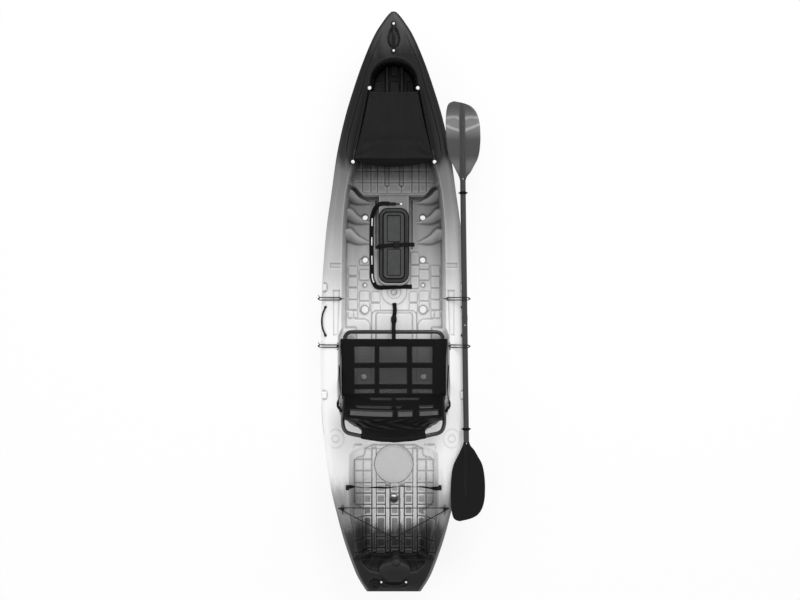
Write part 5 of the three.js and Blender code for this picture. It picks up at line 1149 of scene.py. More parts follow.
def makeHatch():
    middle, size, corner = hatch["middle"], hatch["size"], hatch["corner"]
    foot, top = hatch["frameFoot"], hatch["frameTop"]
    profile = [(0, foot), (0, foot + 0.005), (0.002, top - 0.003), (0.0045, top - 0.0005), (0.0075, top), (0.0120, top),
               (0.0135, top - 0.0035), (0.0140, top - 0.005), (0.022, top - 0.005), (0.0255, top - 0.004),
               (0.0259, foot)]
    rim = ringed(profile, size, corner, middle)
    piece("hatchFrame", [rim], "root", "frame", "hatch_rim", "hatch_frame", sharp=0.9)
    lip = ringed([(-0.0010, foot - 0.0005), (-0.0010, top - 0.003), (0.0010, top - 0.0002), (0.0045, top + 0.0006),
                  (0.0055, top - 0.001)], size, corner, middle)
    piece("hatchFrameLip", [lip], "root", "rubber", "hatch_rim", "hatch_frame", sharp=0.9)
    colourNode("hatch_gasket", "rubber")

    lidFoot, plateau = hatch["lidFoot"], hatch["plateau"]
    profile = [(0.0, 0.1790), (0, lidFoot + 0.003), (0.001, lidFoot + 0.0045), (0.0060, lidFoot + 0.005),
               (0.0072, lidFoot + 0.0015), (0.0140, lidFoot + 0.0015), (0.0148, plateau - 0.003),
               (0.0160, plateau - 0.0007),
               (0.0180, plateau), (0.0205, plateau), (0.0215, plateau - 0.0008), (0.0225, plateau - 0.0008)]
    edge = ringed(profile, hatch["lid"], hatch["lidCorner"], middle)
    inner = (hatch["lid"][0] - 0.045, hatch["lid"][1] - 0.045)

    def height(x, y):
        z = np.full(x.shape, plateau - 0.0008)
        for sign in (1, -1):
            inside = insideBox(x, y, (middle[0], middle[1] + sign * hatch["pitch"] / 2), hatch["panel"], 0.008)
            z = z - 0.0030 * ease(inside / 0.002) + 0.0012 * ease((inside - 0.005) / 0.002)
        return z

    lid = plate(inner, hatch["lidCorner"] - 0.0225, middle, height, 64, 190)
    under = ringed([(0.0, 0.1790), (0.010, 0.1785), (0.013, 0.1732), (0.020, 0.1730)], hatch["lid"], hatch["lidCorner"],
                   middle, cap=True)
    piece("hatchLid", [edge, lid, under], "hatch_cover", "lid", "hatch_plastic", "hatch_lid", sharp=0.9)
    seal = ringed([(0.0066, lidFoot + 0.0010), (0.0072, lidFoot + 0.0028), (0.0138, lidFoot + 0.0028),
                   (0.0146, lidFoot + 0.0010)],
                  hatch["lid"], hatch["lidCorner"], middle)
    beads = [ringed([(-0.0022, plateau - 0.002), (-0.0020, plateau - 0.0002), (0.0022, plateau - 0.0002),
                     (0.0026, plateau - 0.003)],
                    hatch["panel"], 0.008, (middle[0], middle[1] + sign * hatch["pitch"] / 2)) for sign in (1, -1)]
    piece("hatchLidSeal", [seal, *beads], "hatch_cover", "rubber", "hatch_plastic", "hatch_lid", sharp=0.9)

    # Hold-down strap: over the lid, down both sides to the frame, with a loose tail to starboard
    y = hatch["middle"][1]
    over = hatch["strapTop"] - 0.0008
    line = [(-0.1022, y - 0.010, 0.1635), (-0.0965, y - 0.009, 0.1780), (-0.0850, y - 0.007, 0.1905),
            (-0.066, y - 0.005, over),
            (-0.03, y - 0.001, over), (0.0, y + 0.001, over), (0.04, y + 0.003, over), (0.066, y + 0.004, over),
            (0.086, y + 0.005, 0.1925), (0.103, y + 0.005, 0.1840), (0.1245, y + 0.004, 0.1815)]
    strap = webbing(line, 0.0245, 0.0020, (0, 1, 0))
    anchor = turning([(0.0085, 0), (0.0085, 0.002), (0.006, 0.0045), (0.0001, 0.005)], (-0.1005, y - 0.010, 0.1650), 16)
    shown = piece("hatchStrap", [strap], "hatch_cover", "webbing", "webbing", "hatch_strap", sharp=0.9)
    piece("hatchStrapAnchor", [anchor], "hatch_cover", "black", "black_plastic", "hatch_strap")
    buckle("hatchBuckle", (0.016, y + 0.0015, 0.1975), 0.046, 0.033, "hatch_cover", "hatch_strap_buckle")


def buckle(name, place, length, width, body, *replaced):
    # A cam buckle: a frame with a window for the strap and a ribbed lever
    x, y, z = place
    rim = ringed([(0.0, z), (0, z + 0.003), (0.0015, z + 0.0055), (0.004, z + 0.0062), (0.0060, z + 0.005),
                  (0.0065, z + 0.0025)], (length, width), width / 4, (x, y), steps=4)
    lever = ringed([(0.0, z + 0.002), (0, z + 0.0065), (0.002, z + 0.0085), (0.005, z + 0.0088)],
                   (length * 0.56, width * 0.72), 0.004, (x - length * 0.08, y), cap=True, steps=4)
    ribs = [ringed([(0.0, z + 0.008), (0.0006, z + 0.0094)], (0.0022, width * 0.56), 0.001, (x - length * 0.08 + dx, y),
                   cap=True, steps=2) for dx in (-0.007, -0.002, 0.003)]
    floor = ringed([(0.0055, z + 0.001), (0.0055, z + 0.0028)], (length, width), width / 4, (x, y), cap=True, steps=4)
    piece(name, [rim, floor, lever, *ribs], body, "black", "black_plastic", *replaced, sharp=0.8)


# Seat

seat = {
    "railX": 0.291, "railZ": 0.2466, "radius": 0.0115, "front": -0.1721, "rear": -0.5851, "corner": 0.040,
    "panFront": -0.2131, "panRear": -0.5500, "panHalf": 0.3170, "hinge": (-0.55614, 0.2796), "recline": 28.5,
    "fabricStart": 0.004, "fabricEnd": 0.420,
    # The back tube's and the sling's starboard edges in the back's own plane
    "backLine": [(0.291, -0.011), (0.291, 0.10), (0.291, 0.20), (0.290, 0.25), (0.2855, 0.293), (0.275, 0.333),
                 (0.254, 0.360), (0.217, 0.376), (0.171, 0.392), (0.09, 0.415), (0, 0.426)],
    "slingEdge": [(0.0, 0.302), (0.215, 0.303), (0.236, 0.292), (0.262, 0.262), (0.290, 0.234), (0.320, 0.212),
                  (0.345, 0.196), (0.362, 0.186), (0.376, 0.180), (0.42, 0.178)],
    "sleeveHalf": 0.181,
    # Openings in the sling: left, right, low and high
    "slots": ((-0.138, -0.014, 0.034, 0.0395), (0.016, 0.149, 0.034, 0.0395), (-0.218, -0.012, 0.107, 0.1145),
              (0.018, 0.043, 0.107, 0.113), (0.150, 0.230, 0.104, 0.118), (-0.252, -0.006, 0.145, 0.192),
              (0.025, 0.110, 0.145, 0.192), (0.150, 0.258, 0.148, 0.190)),
    "windows": ((-0.235, -0.113), (-0.088, 0.079), (0.107, 0.231)),
    "rows": ((-0.258, -0.357), (-0.385, -0.484), (-0.511, -0.538)),
}


def backPoint(u, v, off=0.0):
    # The seat back's own plane: u across, v up the back from the hinge, off towards the sitter
    tilt = math.radians(seat["recline"])
    y, z = seat["hinge"]
    return np.stack(np.broadcast_arrays(u, y - v * math.sin(tilt) + off * math.cos(tilt),
                                        z + v * math.cos(tilt) + off * math.sin(tilt)), -1)


def makeSeat():
    railX, railZ, radius = seat["railX"], seat["railZ"], seat["radius"]
    line = roundedBox(2 * railX, seat["front"] - seat["rear"], seat["corner"], 9)
    path = np.column_stack([line[:, 0], line[:, 1] + (seat["front"] + seat["rear"]) / 2, np.full(len(line), railZ)])
    frameTube = sweep(path, circle(radius, 20), None, True)
    piece("seatFrame", [frameTube], "root", "tube", "frame_tube", "seat_frame", sharp=None)
    for end, y in (("front", -0.2361), ("rear", -0.5001)):
        for side, hand in hands:
            pad = ringed([(0.0, 0.2154), (0, 0.219), (0.0015, 0.221), (0.003, 0.2325), (0.0015, 0.2345),
                          (0.0008, 0.2352)],
                         (0.023, 0.047), 0.005, (side * railX, y), cap=True, steps=3)
            strap = sweep(np.array([(side * (railX + 0.0128 * math.cos(a)), y, railZ + 0.0128 * math.sin(a))
                                    for a in np.linspace(-0.6, math.pi + 0.6, 18)]),
                          roundedBox(0.018, 0.0022, 0.001, 2), (0, 1, 0))
            piece(end + hand.title() + "Foot", [pad, strap], "root", "rubber", "rubber", f"seat_foot_{end}_{hand}")
    for hand in ("right", "left"):
        colourNode("seat_hinge_plate_" + hand, "black")
        colourNode("seat_hinge_pin_" + hand, "steel")
    makePan()
    makeBack()
    makeSeatStraps()


def makePan():
    # Across: up the outside of the tube, over it and down to the sag in the middle
    columns, rows = 200, 110
    half = seat["panHalf"]
    side = np.array([(0.300, 0.2410), (0.312, 0.2415), (half, 0.2490), (0.3135, 0.2580), (0.3000, 0.2618),
                     (0.2850, 0.2610), (0.2600, 0.2588), (0.2000, 0.2550), (0.1000, 0.2520), (0, 0.2510)])
    right = smoothed(side, 12)
    full = np.concatenate([right, (right * (-1, 1))[::-1][1:]])
    along = np.concatenate([[0], np.cumsum(np.hypot(*np.diff(full, axis=0).T))])
    even = np.linspace(0, along[-1], columns)
    x = np.interp(even, along, full[:, 0])[None]
    z = np.interp(even, along, full[:, 1])[None]
    share = np.linspace(0, 1, rows)[:, None]
    y = seat["panFront"] + share * (seat["panRear"] - seat["panFront"]) + 0 * x
    inner = np.clip(1 - (x / 0.29) ** 2, 0, 1)
    z = z - 0.012 * inner * np.sin(np.pi * np.clip(share, 0.05, 1)) ** 0.5 + 0.004 * inner * (1 - share) ** 4
    x = x * (1 - 0.018 * ease(share / 0.45))
    # Windows of open mesh between webbing and wide borders
    opened = np.full(z.shape, -1.0)
    for x0, x1 in seat["windows"]:
        for y0, y1 in seat["rows"]:
            window = insideBox(x + 0 * z, y, ((x0 + x1) / 2, (y0 + y1) / 2), (x1 - x0, y0 - y1), 0.003)
            opened = np.maximum(opened, window)
    z = z + np.where(opened < 0.0, 0.0014, 0) * (inner > 0.05) - 0.0016 * ease(opened / 0.02)
    z = z + 0.0011 * np.sin(44 * x + 3 * np.sin(9 * y)) * np.exp(-((y + 0.222) / 0.018) ** 2)
    grid = np.stack([x, y, z], -1)
    pan = piece("seatPan", [thick(grid, 0.0016)], "root", "panMesh", "coated_mesh", "seat_pan", sharp=None)
    markOpen(pan, ease(opened / 0.003))
    clothOf(pan, grid, "stretched", "seatFrame")


def makeBack():
    radius = seat["radius"]
    right = np.array(seat["backLine"])
    line = np.concatenate([right, (right[:-1] * (-1, 1))[::-1]])
    path = backPoint(line[:, 0], line[:, 1])
    piece("seatBackFrame", [tube(path, radius, 5, 18)], "seat_backrest", "tube", "frame_tube", "seat_back_frame",
          sharp=None)

    # The sling: in front of the tubes, wrapped round them at the sides and over the top bar
    columns, rows = 170, 150
    side = np.linspace(-1, 1, columns)[None]
    v = np.linspace(seat["fabricStart"], seat["fabricEnd"], rows)[:, None]
    half = curveThrough(seat["slingEdge"], v)
    bowed = 0.034 * (1 - side ** 2) * ease((v - 0.30) / 0.12) - 0.034
    u, v = side * half, v + np.where(v > 0.30, bowed * ease((v - 0.30) / 0.12), 0)
    fromEdge = (1 - np.abs(side)) * half
    off = 0.0130 - 0.018 * np.sin(np.pi * np.clip(v / 0.43, 0, 1)) * (1 - side ** 2)
    off = off - 0.014 * np.clip(1 - fromEdge / 0.016, 0, 1) ** 2 * ease((0.25 - v) / 0.02)
    # Wrinkles drawn from the shoulders towards the middle of the upper panel
    upper = ease((v - 0.215) / 0.02) * ease((0.345 - v) / 0.02)
    for hand in (1, -1):
        reach = np.hypot(u - hand * 0.270, v - 0.235)
        bearing = np.arctan2(v - 0.235, (u - hand * 0.270) * -hand)
        off = off + 0.0050 * upper * np.sin(15 * bearing + 2.6 * np.sin(24 * reach)) * np.exp(-reach / 0.15)
    off = off + 0.0022 * upper * np.sin(52 * u + 5 * np.sin(29 * v))
    # Slits and slots between the bands show open mesh
    opened = np.full(off.shape, -1.0)
    for u0, u1, v0, v1 in seat["slots"]:
        opened = np.maximum(opened, insideBox(u, v, ((u0 + u1) / 2, (v0 + v1) / 2), (u1 - u0, v1 - v0), 0.0035))
    off = off - 0.004 * ease((opened + 0.010) / 0.010)
    # Mesh gussets along the slanted edges
    gusset = ease((0.020 - fromEdge) / 0.006) * ease((v - 0.245) / 0.01) * ease((0.345 - v) / 0.01) * 0.6
    grid = backPoint(u, v, off)
    sling = piece("seatBack", [thick(grid, 0.0018, np.stack([u, v], -1))], "seat_backrest", "backMesh", "seat_fabric",
                  "seat_back", sharp=None)
    markOpen(sling, np.maximum(ease(opened / 0.003), gusset))
    clothOf(sling, grid, "stretched", "seatBackFrame")
    # The sleeve round the top bar
    around = np.linspace(-0.9, 2 * np.pi - 1.6, 26)[:, None]
    u = np.linspace(-seat["sleeveHalf"], seat["sleeveHalf"], 60)[None]
    centre = curveThrough(np.array(seat["backLine"])[:6:-1], np.abs(u))
    wide = radius + 0.0032 + 0.0007 * np.sin(70 * u)
    grid = backPoint(u, centre + wide * np.sin(around), wide * np.cos(around))
    sleeve = piece("seatBackSleeve", [thick(grid, 0.0012, np.stack([u + 0 * around, around * 0.0137 + 0 * u], -1))],
                   "seat_backrest", "fabric", "seat_fabric", "seat_back", sharp=None)
    clothOf(sleeve, grid, "folded", "seatBackFrame")


def makeSeatStraps():
    railZ = seat["railZ"]
    for side, hand in hands:
        # Webbing on edge from the rail to the back's tube, with its loose tail at the front
        line = [(0.3265, -0.366, 0.262), (0.3220, -0.400, 0.268), (0.3195, -0.440, 0.284), (0.3170, -0.480, 0.308),
                (0.3150, -0.525, 0.334), (0.3215, -0.565, 0.362), (0.3240, -0.595, 0.385), (0.3120, -0.615, 0.402),
                (0.3050, -0.632, 0.412)]
        path = np.array(line) * (side, 1, 1)
        strap = webbing(path, 0.0235, 0.0018, (side * 0.04, -0.55, 0.80), 6)
        item = piece(hand + "SideStrap", [strap], None, "webbing", "webbing", "seat_side_strap_" + hand, sharp=0.9)
        holder = buckleOnEdge(hand + "SideBuckle", (side * 0.3255, -0.583, 0.376), side)
        for shown in (item, holder):
            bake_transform(shown)
    # Tether from the floor stud to the front of the pan
    over = railZ + seat["radius"] + 0.0018
    line = [(0.002, 0.000, 0.1195), (0.004, -0.020, 0.1205), (0.006, -0.040, 0.1275), (0.005, -0.058, 0.1545),
            (0.001, -0.085, 0.1585), (0, -0.115, 0.1660), (-0.001, -0.140, 0.215), (-0.001, -0.1585, over - 0.003),
            (0, -0.172, over), (0, -0.190, over + 0.001), (0, -0.2165, over + 0.002)]
    shown = piece("seatTether", [webbing(line, 0.0245, 0.0020, (1, 0, 0))], "root", "webbing", "webbing", "seat_tether",
                  sharp=0.9)
    buckle("tetherBuckle", (0.0, -0.0995, 0.1600), 0.034, 0.045, "root", "seat_tether_buckle")
    piece("tetherStud", [turning([(0.011, 0), (0.011, 0.004), (0.0085, 0.0072), (0.0001, 0.008)], (0, -0.0081, 0.1103),
                                 24)], "root",
          "black", "black_plastic", "seat_tether_stud")


def buckleOnEdge(name, place, side):
    # A slide on the side strap: a frame and the bar across it
    loop = roundedBox(0.030, 0.034, 0.006, 3)
    lean = np.array([side * 0.25, -0.53, 0.81])
    along = np.array([0, -0.83, -0.55])
    path = np.array(place) + loop[:, :1] * lean + loop[:, 1:] * along
    bar = np.array(place) + 0.014 * np.array([-lean, lean])
    return piece(name, [sweep(path, circle(0.0028, 8), None, True), sweep(bar, circle(0.0028, 8))], None, "black",
                 "webbing", "seat_side_strap_right" if side > 0 else "seat_side_strap_left", sharp=0.9)


def makeFloorStrap():
    top, floor, y = 0.1664, 0.1176, 0.597
    line = [(-0.026, y + 0.000, top + 0.003), (-0.050, y + 0.003, top + 0.001), (-0.078, y + 0.001, top),
            (-0.100, y - 0.010, top - 0.004),
            (-0.117, y - 0.032, 0.142), (-0.126, y - 0.062, floor + 0.002), (-0.1285, y - 0.110, floor),
            (-0.1300, 0.40, floor),
            (-0.1300, 0.30, floor), (-0.1280, 0.20, floor), (-0.1265, 0.150, floor), (-0.121, 0.122, floor + 0.001),
            (-0.108, 0.100, floor + 0.003), (-0.086, 0.0935, floor + 0.002), (-0.05, 0.0945, floor),
            (0.02, 0.0980, floor), (0.110, 0.0990, floor)]
    # Flat webbing that turns with its own path
    path = smoothed(line, 8)
    tangent = unit(np.gradient(path, axis=0))
    across = unit(np.cross(tangent, (0, 0, 1.0)))
    path[:, 0] -= 0.006 * ease((path[:, 1] - 0.110) / 0.05) * ease((0.56 - path[:, 1]) / 0.05)
    strap = sweep(path, roundedBox(0.0262, 0.0020, 0.0009, 2), across)
    shown = piece("floorStrap", [strap], "root", "webbing", "webbing", "floor_strap", sharp=0.9)
    marks = []
    for y0, y1 in ((0.520, 0.458), (0.403, 0.340), (0.288, 0.228), (0.178, 0.124)):
        rows = path[(path[:, 1] < y0) & (path[:, 1] > y1) & (path[:, 0] < -0.11)]
        if len(rows) > 2:
            marks.append(sweep(rows + (0.0015, 0, 0.00105), roundedBox(0.0070, 0.0004, 0.0001, 1),
                               unit(np.cross(unit(np.gradient(rows, axis=0)), (0, 0, 1.0)))))
    piece("floorStrapMarks", marks, "root", "white", "webbing", "floor_strap", sharp=0.9)
    hook = [ringed([(0, 0.1655), (0, 0.170), (0.002, 0.173)], (0.040, 0.019), 0.005, (-0.006, 0.5972), cap=True,
                   steps=3),
            tube([(0.012, 0.597, 0.169), (0.020, 0.600, 0.169), (0.032, 0.600, 0.169), (0.0345, 0.597, 0.169),
                  (0.032, 0.594, 0.169), (0.020, 0.594, 0.169), (0.012, 0.597, 0.169)], 0.0014, 5, 8)]
    piece("floorStrapClip", hook, "root", "black", "black_plastic", "floor_strap_clip")
    piece("floorStrapStud", [turning([(0.0077, 0), (0.0077, 0.003), (0.0055, 0.0068), (0.0001, 0.0078)],
                                     (0.043, 0.597, 0.1654), 20)],
          "root", "white", "steel", "floor_strap_stud")


# Paddle

paddle = {
    "x": 0.416, "z": 0.3268, "yaw": 0.76, "radius": 0.0165, "bowEnd": 0.724, "sternEnd": -0.820, "joint": -0.104,
    "bowTip": 1.186, "sternTip": -1.281,
    # Shares of the blade's length from its neck; half widths on its narrow-tipped side and on its long side
    "blade": [(0, 0.0165, 0.0165), (0.045, 0.024, 0.022), (0.10, 0.045, 0.034), (0.18, 0.066, 0.052),
              (0.28, 0.090, 0.076),
              (0.40, 0.102, 0.089), (0.55, 0.1065, 0.095), (0.68, 0.1045, 0.0970), (0.78, 0.097, 0.0960),
              (0.86, 0.083, 0.0930),
              (0.92, 0.062, 0.0880), (0.955, 0.037, 0.0820), (0.98, 0.004, 0.0720), (0.993, -0.026, 0.0600),
              (1, -0.044, 0.0450)],
}


def onPaddle(points):
    turn = math.radians(paddle["yaw"])
    c, s = math.cos(turn), math.sin(turn)
    x, y, z = points[..., 0], points[..., 1], points[..., 2]
    return np.stack([paddle["x"] + x * c - y * s, x * s + y * c, paddle["z"] + z], -1)


def makeBlade(name, neck, tip, body, finish, node):
    rows, columns = 90, 61
    share = 1 - (1 - np.linspace(0, 1, rows)) ** 1.35
    table = np.array(paddle["blade"])
    wide = curveThrough(table[:, [0, 1]], share)
    narrow = curveThrough(table[:, [0, 2]], share)
    across = np.linspace(-1, 1, columns)
    middle = ((wide - narrow) / 2)[:, None]
    half = ((wide + narrow) / 2)[:, None]
    x = middle + half * across[None]
    y = (neck + share * (tip - neck))[:, None] + 0 * x
    along = share[:, None] + 0 * x
    # A round neck that flattens to a spine with a hollow at each side
    spineHalf = 0.0155 * (1 - 0.85 * along) + 0.001
    spine = np.sqrt(np.clip(1 - (x / (spineHalf * 1.25)) ** 2, 0, 1)) * 0.0160 * (1 - along / 0.86).clip(0, 1) ** 0.75
    beside = np.exp(-((np.abs(x) - spineHalf * 1.5) / 0.010) ** 2)
    dish = 0.0070 * (x / 0.1) ** 2 * ease(along * 3) - 0.0030 * beside * ease(along * 5) * ease((0.85 - along) * 4)
    ripple = 0.0022 * np.sin((along - 0.60) * 26) * ease((along - 0.55) * 6) * ease((0.95 - along) * 8)
    ripple = ripple * ease((np.abs(x) - 0.016) / 0.01)
    edge = np.clip((1 - np.abs(across[None])) / 0.12, 0, 1) ** 0.5
    thickness = 0.0012 + 0.0022 * edge
    upper = np.maximum(spine, thickness + dish * 0.7 + ripple * 0.4)
    lower = -np.maximum(spine * 0.72, thickness - dish * 0.7)
    grid = np.concatenate([np.stack([x, y, upper], -1), np.stack([x, y, lower], -1)[:, ::-1]], 1)
    width = grid.shape[1]
    ends = [list(range(width)), list(range((rows - 1) * width, rows * width))]
    faces = gridFaces(rows, width, False, True).tolist() + ends
    uv = np.concatenate([np.stack([x, along], -1), np.stack([x, along], -1)[:, ::-1]], 1)
    piece(name, [(onPaddle(grid), faces, uv)], body, finish, "paddle_blade", node, sharp=None)
    rivet = turning([(0.0028, 0), (0.0028, 0.0008), (0.0012, 0.0016), (0.0001, 0.0017)],
                    onPaddle(np.array([0, neck + (0.008 if tip > neck else -0.008), 0.0158])), 16)
    piece(name + "Rivet", [rivet], body, "white", "steel", node)


def makePaddle():
    r, joint = paddle["radius"], paddle["joint"]

    def rod(y0, y1, radius=r, sides=36, steps=40):
        y = np.linspace(y0, y1, steps)
        return sweep(onPaddle(np.stack([0 * y, y, 0 * y], -1)), circle(radius, sides), (1, 0, 0))

    piece("shaftStern", [rod(paddle["sternEnd"], joint - 0.0003), rod(joint - 0.05, joint + 0.050, 0.0124, 24, 2)],
          "paddle_stern_half", "shaft", "paddle_shaft", "paddle_shaft_stern", sharp=0.9)
    collar = rod(joint + 0.0003, joint + 0.030, r + 0.0011, 24, 2)
    piece("shaftBow", [rod(joint + 0.0003, paddle["bowEnd"]), collar], "paddle_bow_half", "shaft", "paddle_shaft",
          "paddle_shaft_bow", sharp=0.9)
    makeBlade("bladeBow", paddle["bowEnd"] - 0.004, paddle["bowTip"], "paddle_bow_half", "bladeGlossPaintedReflection",
              "paddle_blade_bow")
    makeBlade("bladeStern", paddle["sternEnd"] + 0.004, paddle["sternTip"], "paddle_stern_half", "blade",
              "paddle_blade_stern")
    for name, y, body, node in (("ringBow", 0.647, "ring_bow", "drip_ring_bow"),
                                ("ringStern", -0.740, "ring_stern", "drip_ring_stern")):
        profile = [(r + 0.0004, -0.007), (0.0205, -0.007), (0.0208, -0.003), (0.0225, -0.0015), (0.0285, -0.0012),
                   (0.0290, 0.0005), (0.0283, 0.0018), (0.0215, 0.0030), (0.0205, 0.007), (r + 0.0004, 0.007)]
        p, f, u = turning(profile, (0, 0, 0), 40, axis="y")
        piece(name, [(onPaddle(p + (0, y, 0)), f, u)], body, "rubber", "rubber", node, sharp=0.6)
    piece("paddleButton", [turning([(0.0038, -0.004), (0.0038, 0.0012), (0.0026, 0.0028), (0.0001, 0.0031)],
                                   onPaddle(np.array([0, -0.130, r + 0.0004])), 16)], "snap_button", "steel", "steel",
          "paddle_button")


# Handles, keepers and rigging


def makeHandles():
    for side, hand in hands:
        share = np.array([0, 0.08, 0.25, 0.5, 0.75, 0.92, 1.0])
        out = np.array([0, 0.2, 0.75, 1, 0.75, 0.2, 0])
        x = 0.403 + out * 0.0235
        y = -0.0211 - share * 0.173
        z = gunwaleHeight(x, y) + 0.0060 + out * 0.0035
        grip = tube(np.stack([side * x, y, z], -1), 0.0048, 7, 12)
        ends = [turning([(0.0078, -0.006), (0.0082, 0.001), (0.0060, 0.0048), (0.0001, 0.0052)],
                        (side * x[i], y[i] + shift, z[i]), 16)
                for i, shift in ((0, -0.003), (-1, 0.003))]
        cuffs = [tube(np.stack([side * x[i:i + 2], y[i:i + 2], z[i:i + 2]], -1), 0.0053, 4, 12) for i in (0, 5)]
        piece(hand + "SideHandle", [grip, *cuffs], "handle_" + hand, "black", "black_plastic", "side_handle_" + hand,
              sharp=0.9)
        piece(hand + "SideHandleMounts", ends, "root", "black", "black_plastic", sharp=0.9)
    across = np.array([-1, -0.85, -0.5, 0, 0.5, 0.85, 1])
    out = np.array([0, 0.3, 0.85, 1, 0.85, 0.3, 0])
    y = -1.6361 - out * 0.0235
    z = sheerAt(y) + 0.0068 + 0.0004
    grip = tube(np.stack([across * 0.0735, y, z], -1), 0.0056, 8, 12)
    lugs = [turning([(0.0095, -0.005), (0.0100, 0.003), (0.0080, 0.0062), (0.0001, 0.0065)],
                    (side * 0.0725, -1.6365, z[0]), 20)
            for side in (1, -1)]
    piece("sternHandle", [grip], "handle_stern", "black", "black_plastic", "stern_handle", sharp=0.9)
    piece("sternHandleMounts", lugs, "root", "black", "black_plastic", sharp=0.9)
    piece("sternHandleScrews", [screwHead((side * 0.0725, -1.6365, z[0] + 0.0058), 0.0062, 0.0040) for side in (1, -1)],
          "root", "white", "steel")


# Each paddle keeper's body, how far along the hull it stands, its pivot from the middle line, and its side
keepers = {
    "radius": 0.0028, "spread": 0.0072, "height": 0.3038, "crimp": 0.0046,
    "front_right": ("keeper_a", 0.02516, 0.316, 1), "rear_right": ("keeper_b", -0.25398, 0.334, 1),
    "front_left": ("keeper_c", 0.02516, 0.316, -1), "rear_left": ("keeper_d", -0.25398, 0.334, -1),
}


def makeKeepers():
    radius, spread, z = keepers["radius"], keepers["spread"], keepers["height"]
    for name in ("front_right", "rear_right", "front_left", "rear_left"):
        body, y, inner, side = keepers[name]
        if side > 0:
            shaftX = paddle["x"] - math.tan(math.radians(paddle["yaw"])) * y
            clear = paddle["radius"] + radius + 0.0024
            over = [(shaftX + clear * math.cos(a), paddle["z"] + clear * math.sin(a))
                    for a in np.radians((150, 110, 70, 30))]
            hookX, hookZ = 0.440, paddle["z"] - 0.006
        else:
            over = [(0.392, z), (0.412, z - 0.003)]
            hookX, hookZ = 0.438, 0.291
        line = [(inner + 0.001, z), (inner + 0.020, z), *over, (hookX, hookZ)]
        out = [(side * px, y + spread, pz) for px, pz in line]
        home = [(side * px, y - spread, pz) for px, pz in line][::-1]
        tip = [(side * (hookX + 0.003), y, hookZ - 0.003)]
        start = [(side * (inner + 0.0005), y, z + 0.0002)]
        cord = tube([*out, *tip, *home, *start], radius, 5, 8, True)
        crimp = tube([(side * (inner - 0.012), y, z), (side * (inner + 0.001), y, z)], keepers["crimp"], 3, 10)
        if "front" in name:
            bends = [[(-0.008, 0, 0), (-0.018, 0, 0.001), (-0.026, 0, -0.004)]]
            shape = {"radius": 0.0026, "grow": np.linspace(1, 0.6, 11)}
        else:
            bends = [[(-0.004, 0, 0), (-0.008, 0.012, 0.001), (-0.006, 0.019, 0), (-0.001, 0.016, 0)],
                     [(-0.004, -0.004, 0), (-0.008, -0.014, 0.001), (-0.004, -0.021, 0), (0.001, -0.017, 0)]]
            shape = {"radius": 0.0022}
        hooks = [tube([(side * (inner + dx), y + dy, z + dz) for dx, dy, dz in bend], steps=5, sides=8, **shape)
                 for bend in bends]
        ball = turning([(0.0001, -0.006), (0.004, -0.0048), (0.0062, 0), (0.004, 0.0048), (0.0001, 0.006)],
                       (side * (hookX + 0.006), y, hookZ - 0.003), 16)
        outer = tube([(side * (hookX - 0.004), y + 0.004, hookZ), (side * (hookX + 0.003), y + 0.012, hookZ - 0.002),
                      (side * (hookX + 0.007), y + 0.021, hookZ - 0.004)], 0.0024, 5, 8)
        extra = [outer] if side < 0 else []
        title = "keeper" + name.title().replace("_", "")
        piece(title, [cord, ball, *extra], body, "cord", "bungee", "keeper_" + name, sharp=0.9)
        piece(title + "Anchor", [crimp, *hooks], "root", "black", "black_plastic", sharp=0.9)


rigging = {
    "front": (0.300, -1.2131), "rear": (0.217, -1.5001), "neck": 0.0045, "cord": 0.0026, "rise": 0.0088,
    "strapAlong": -1.088, "strapHalf": 0.281, "strapWidth": 0.0235, "strapSag": 0.020, "tabAcross": 0.272,
}


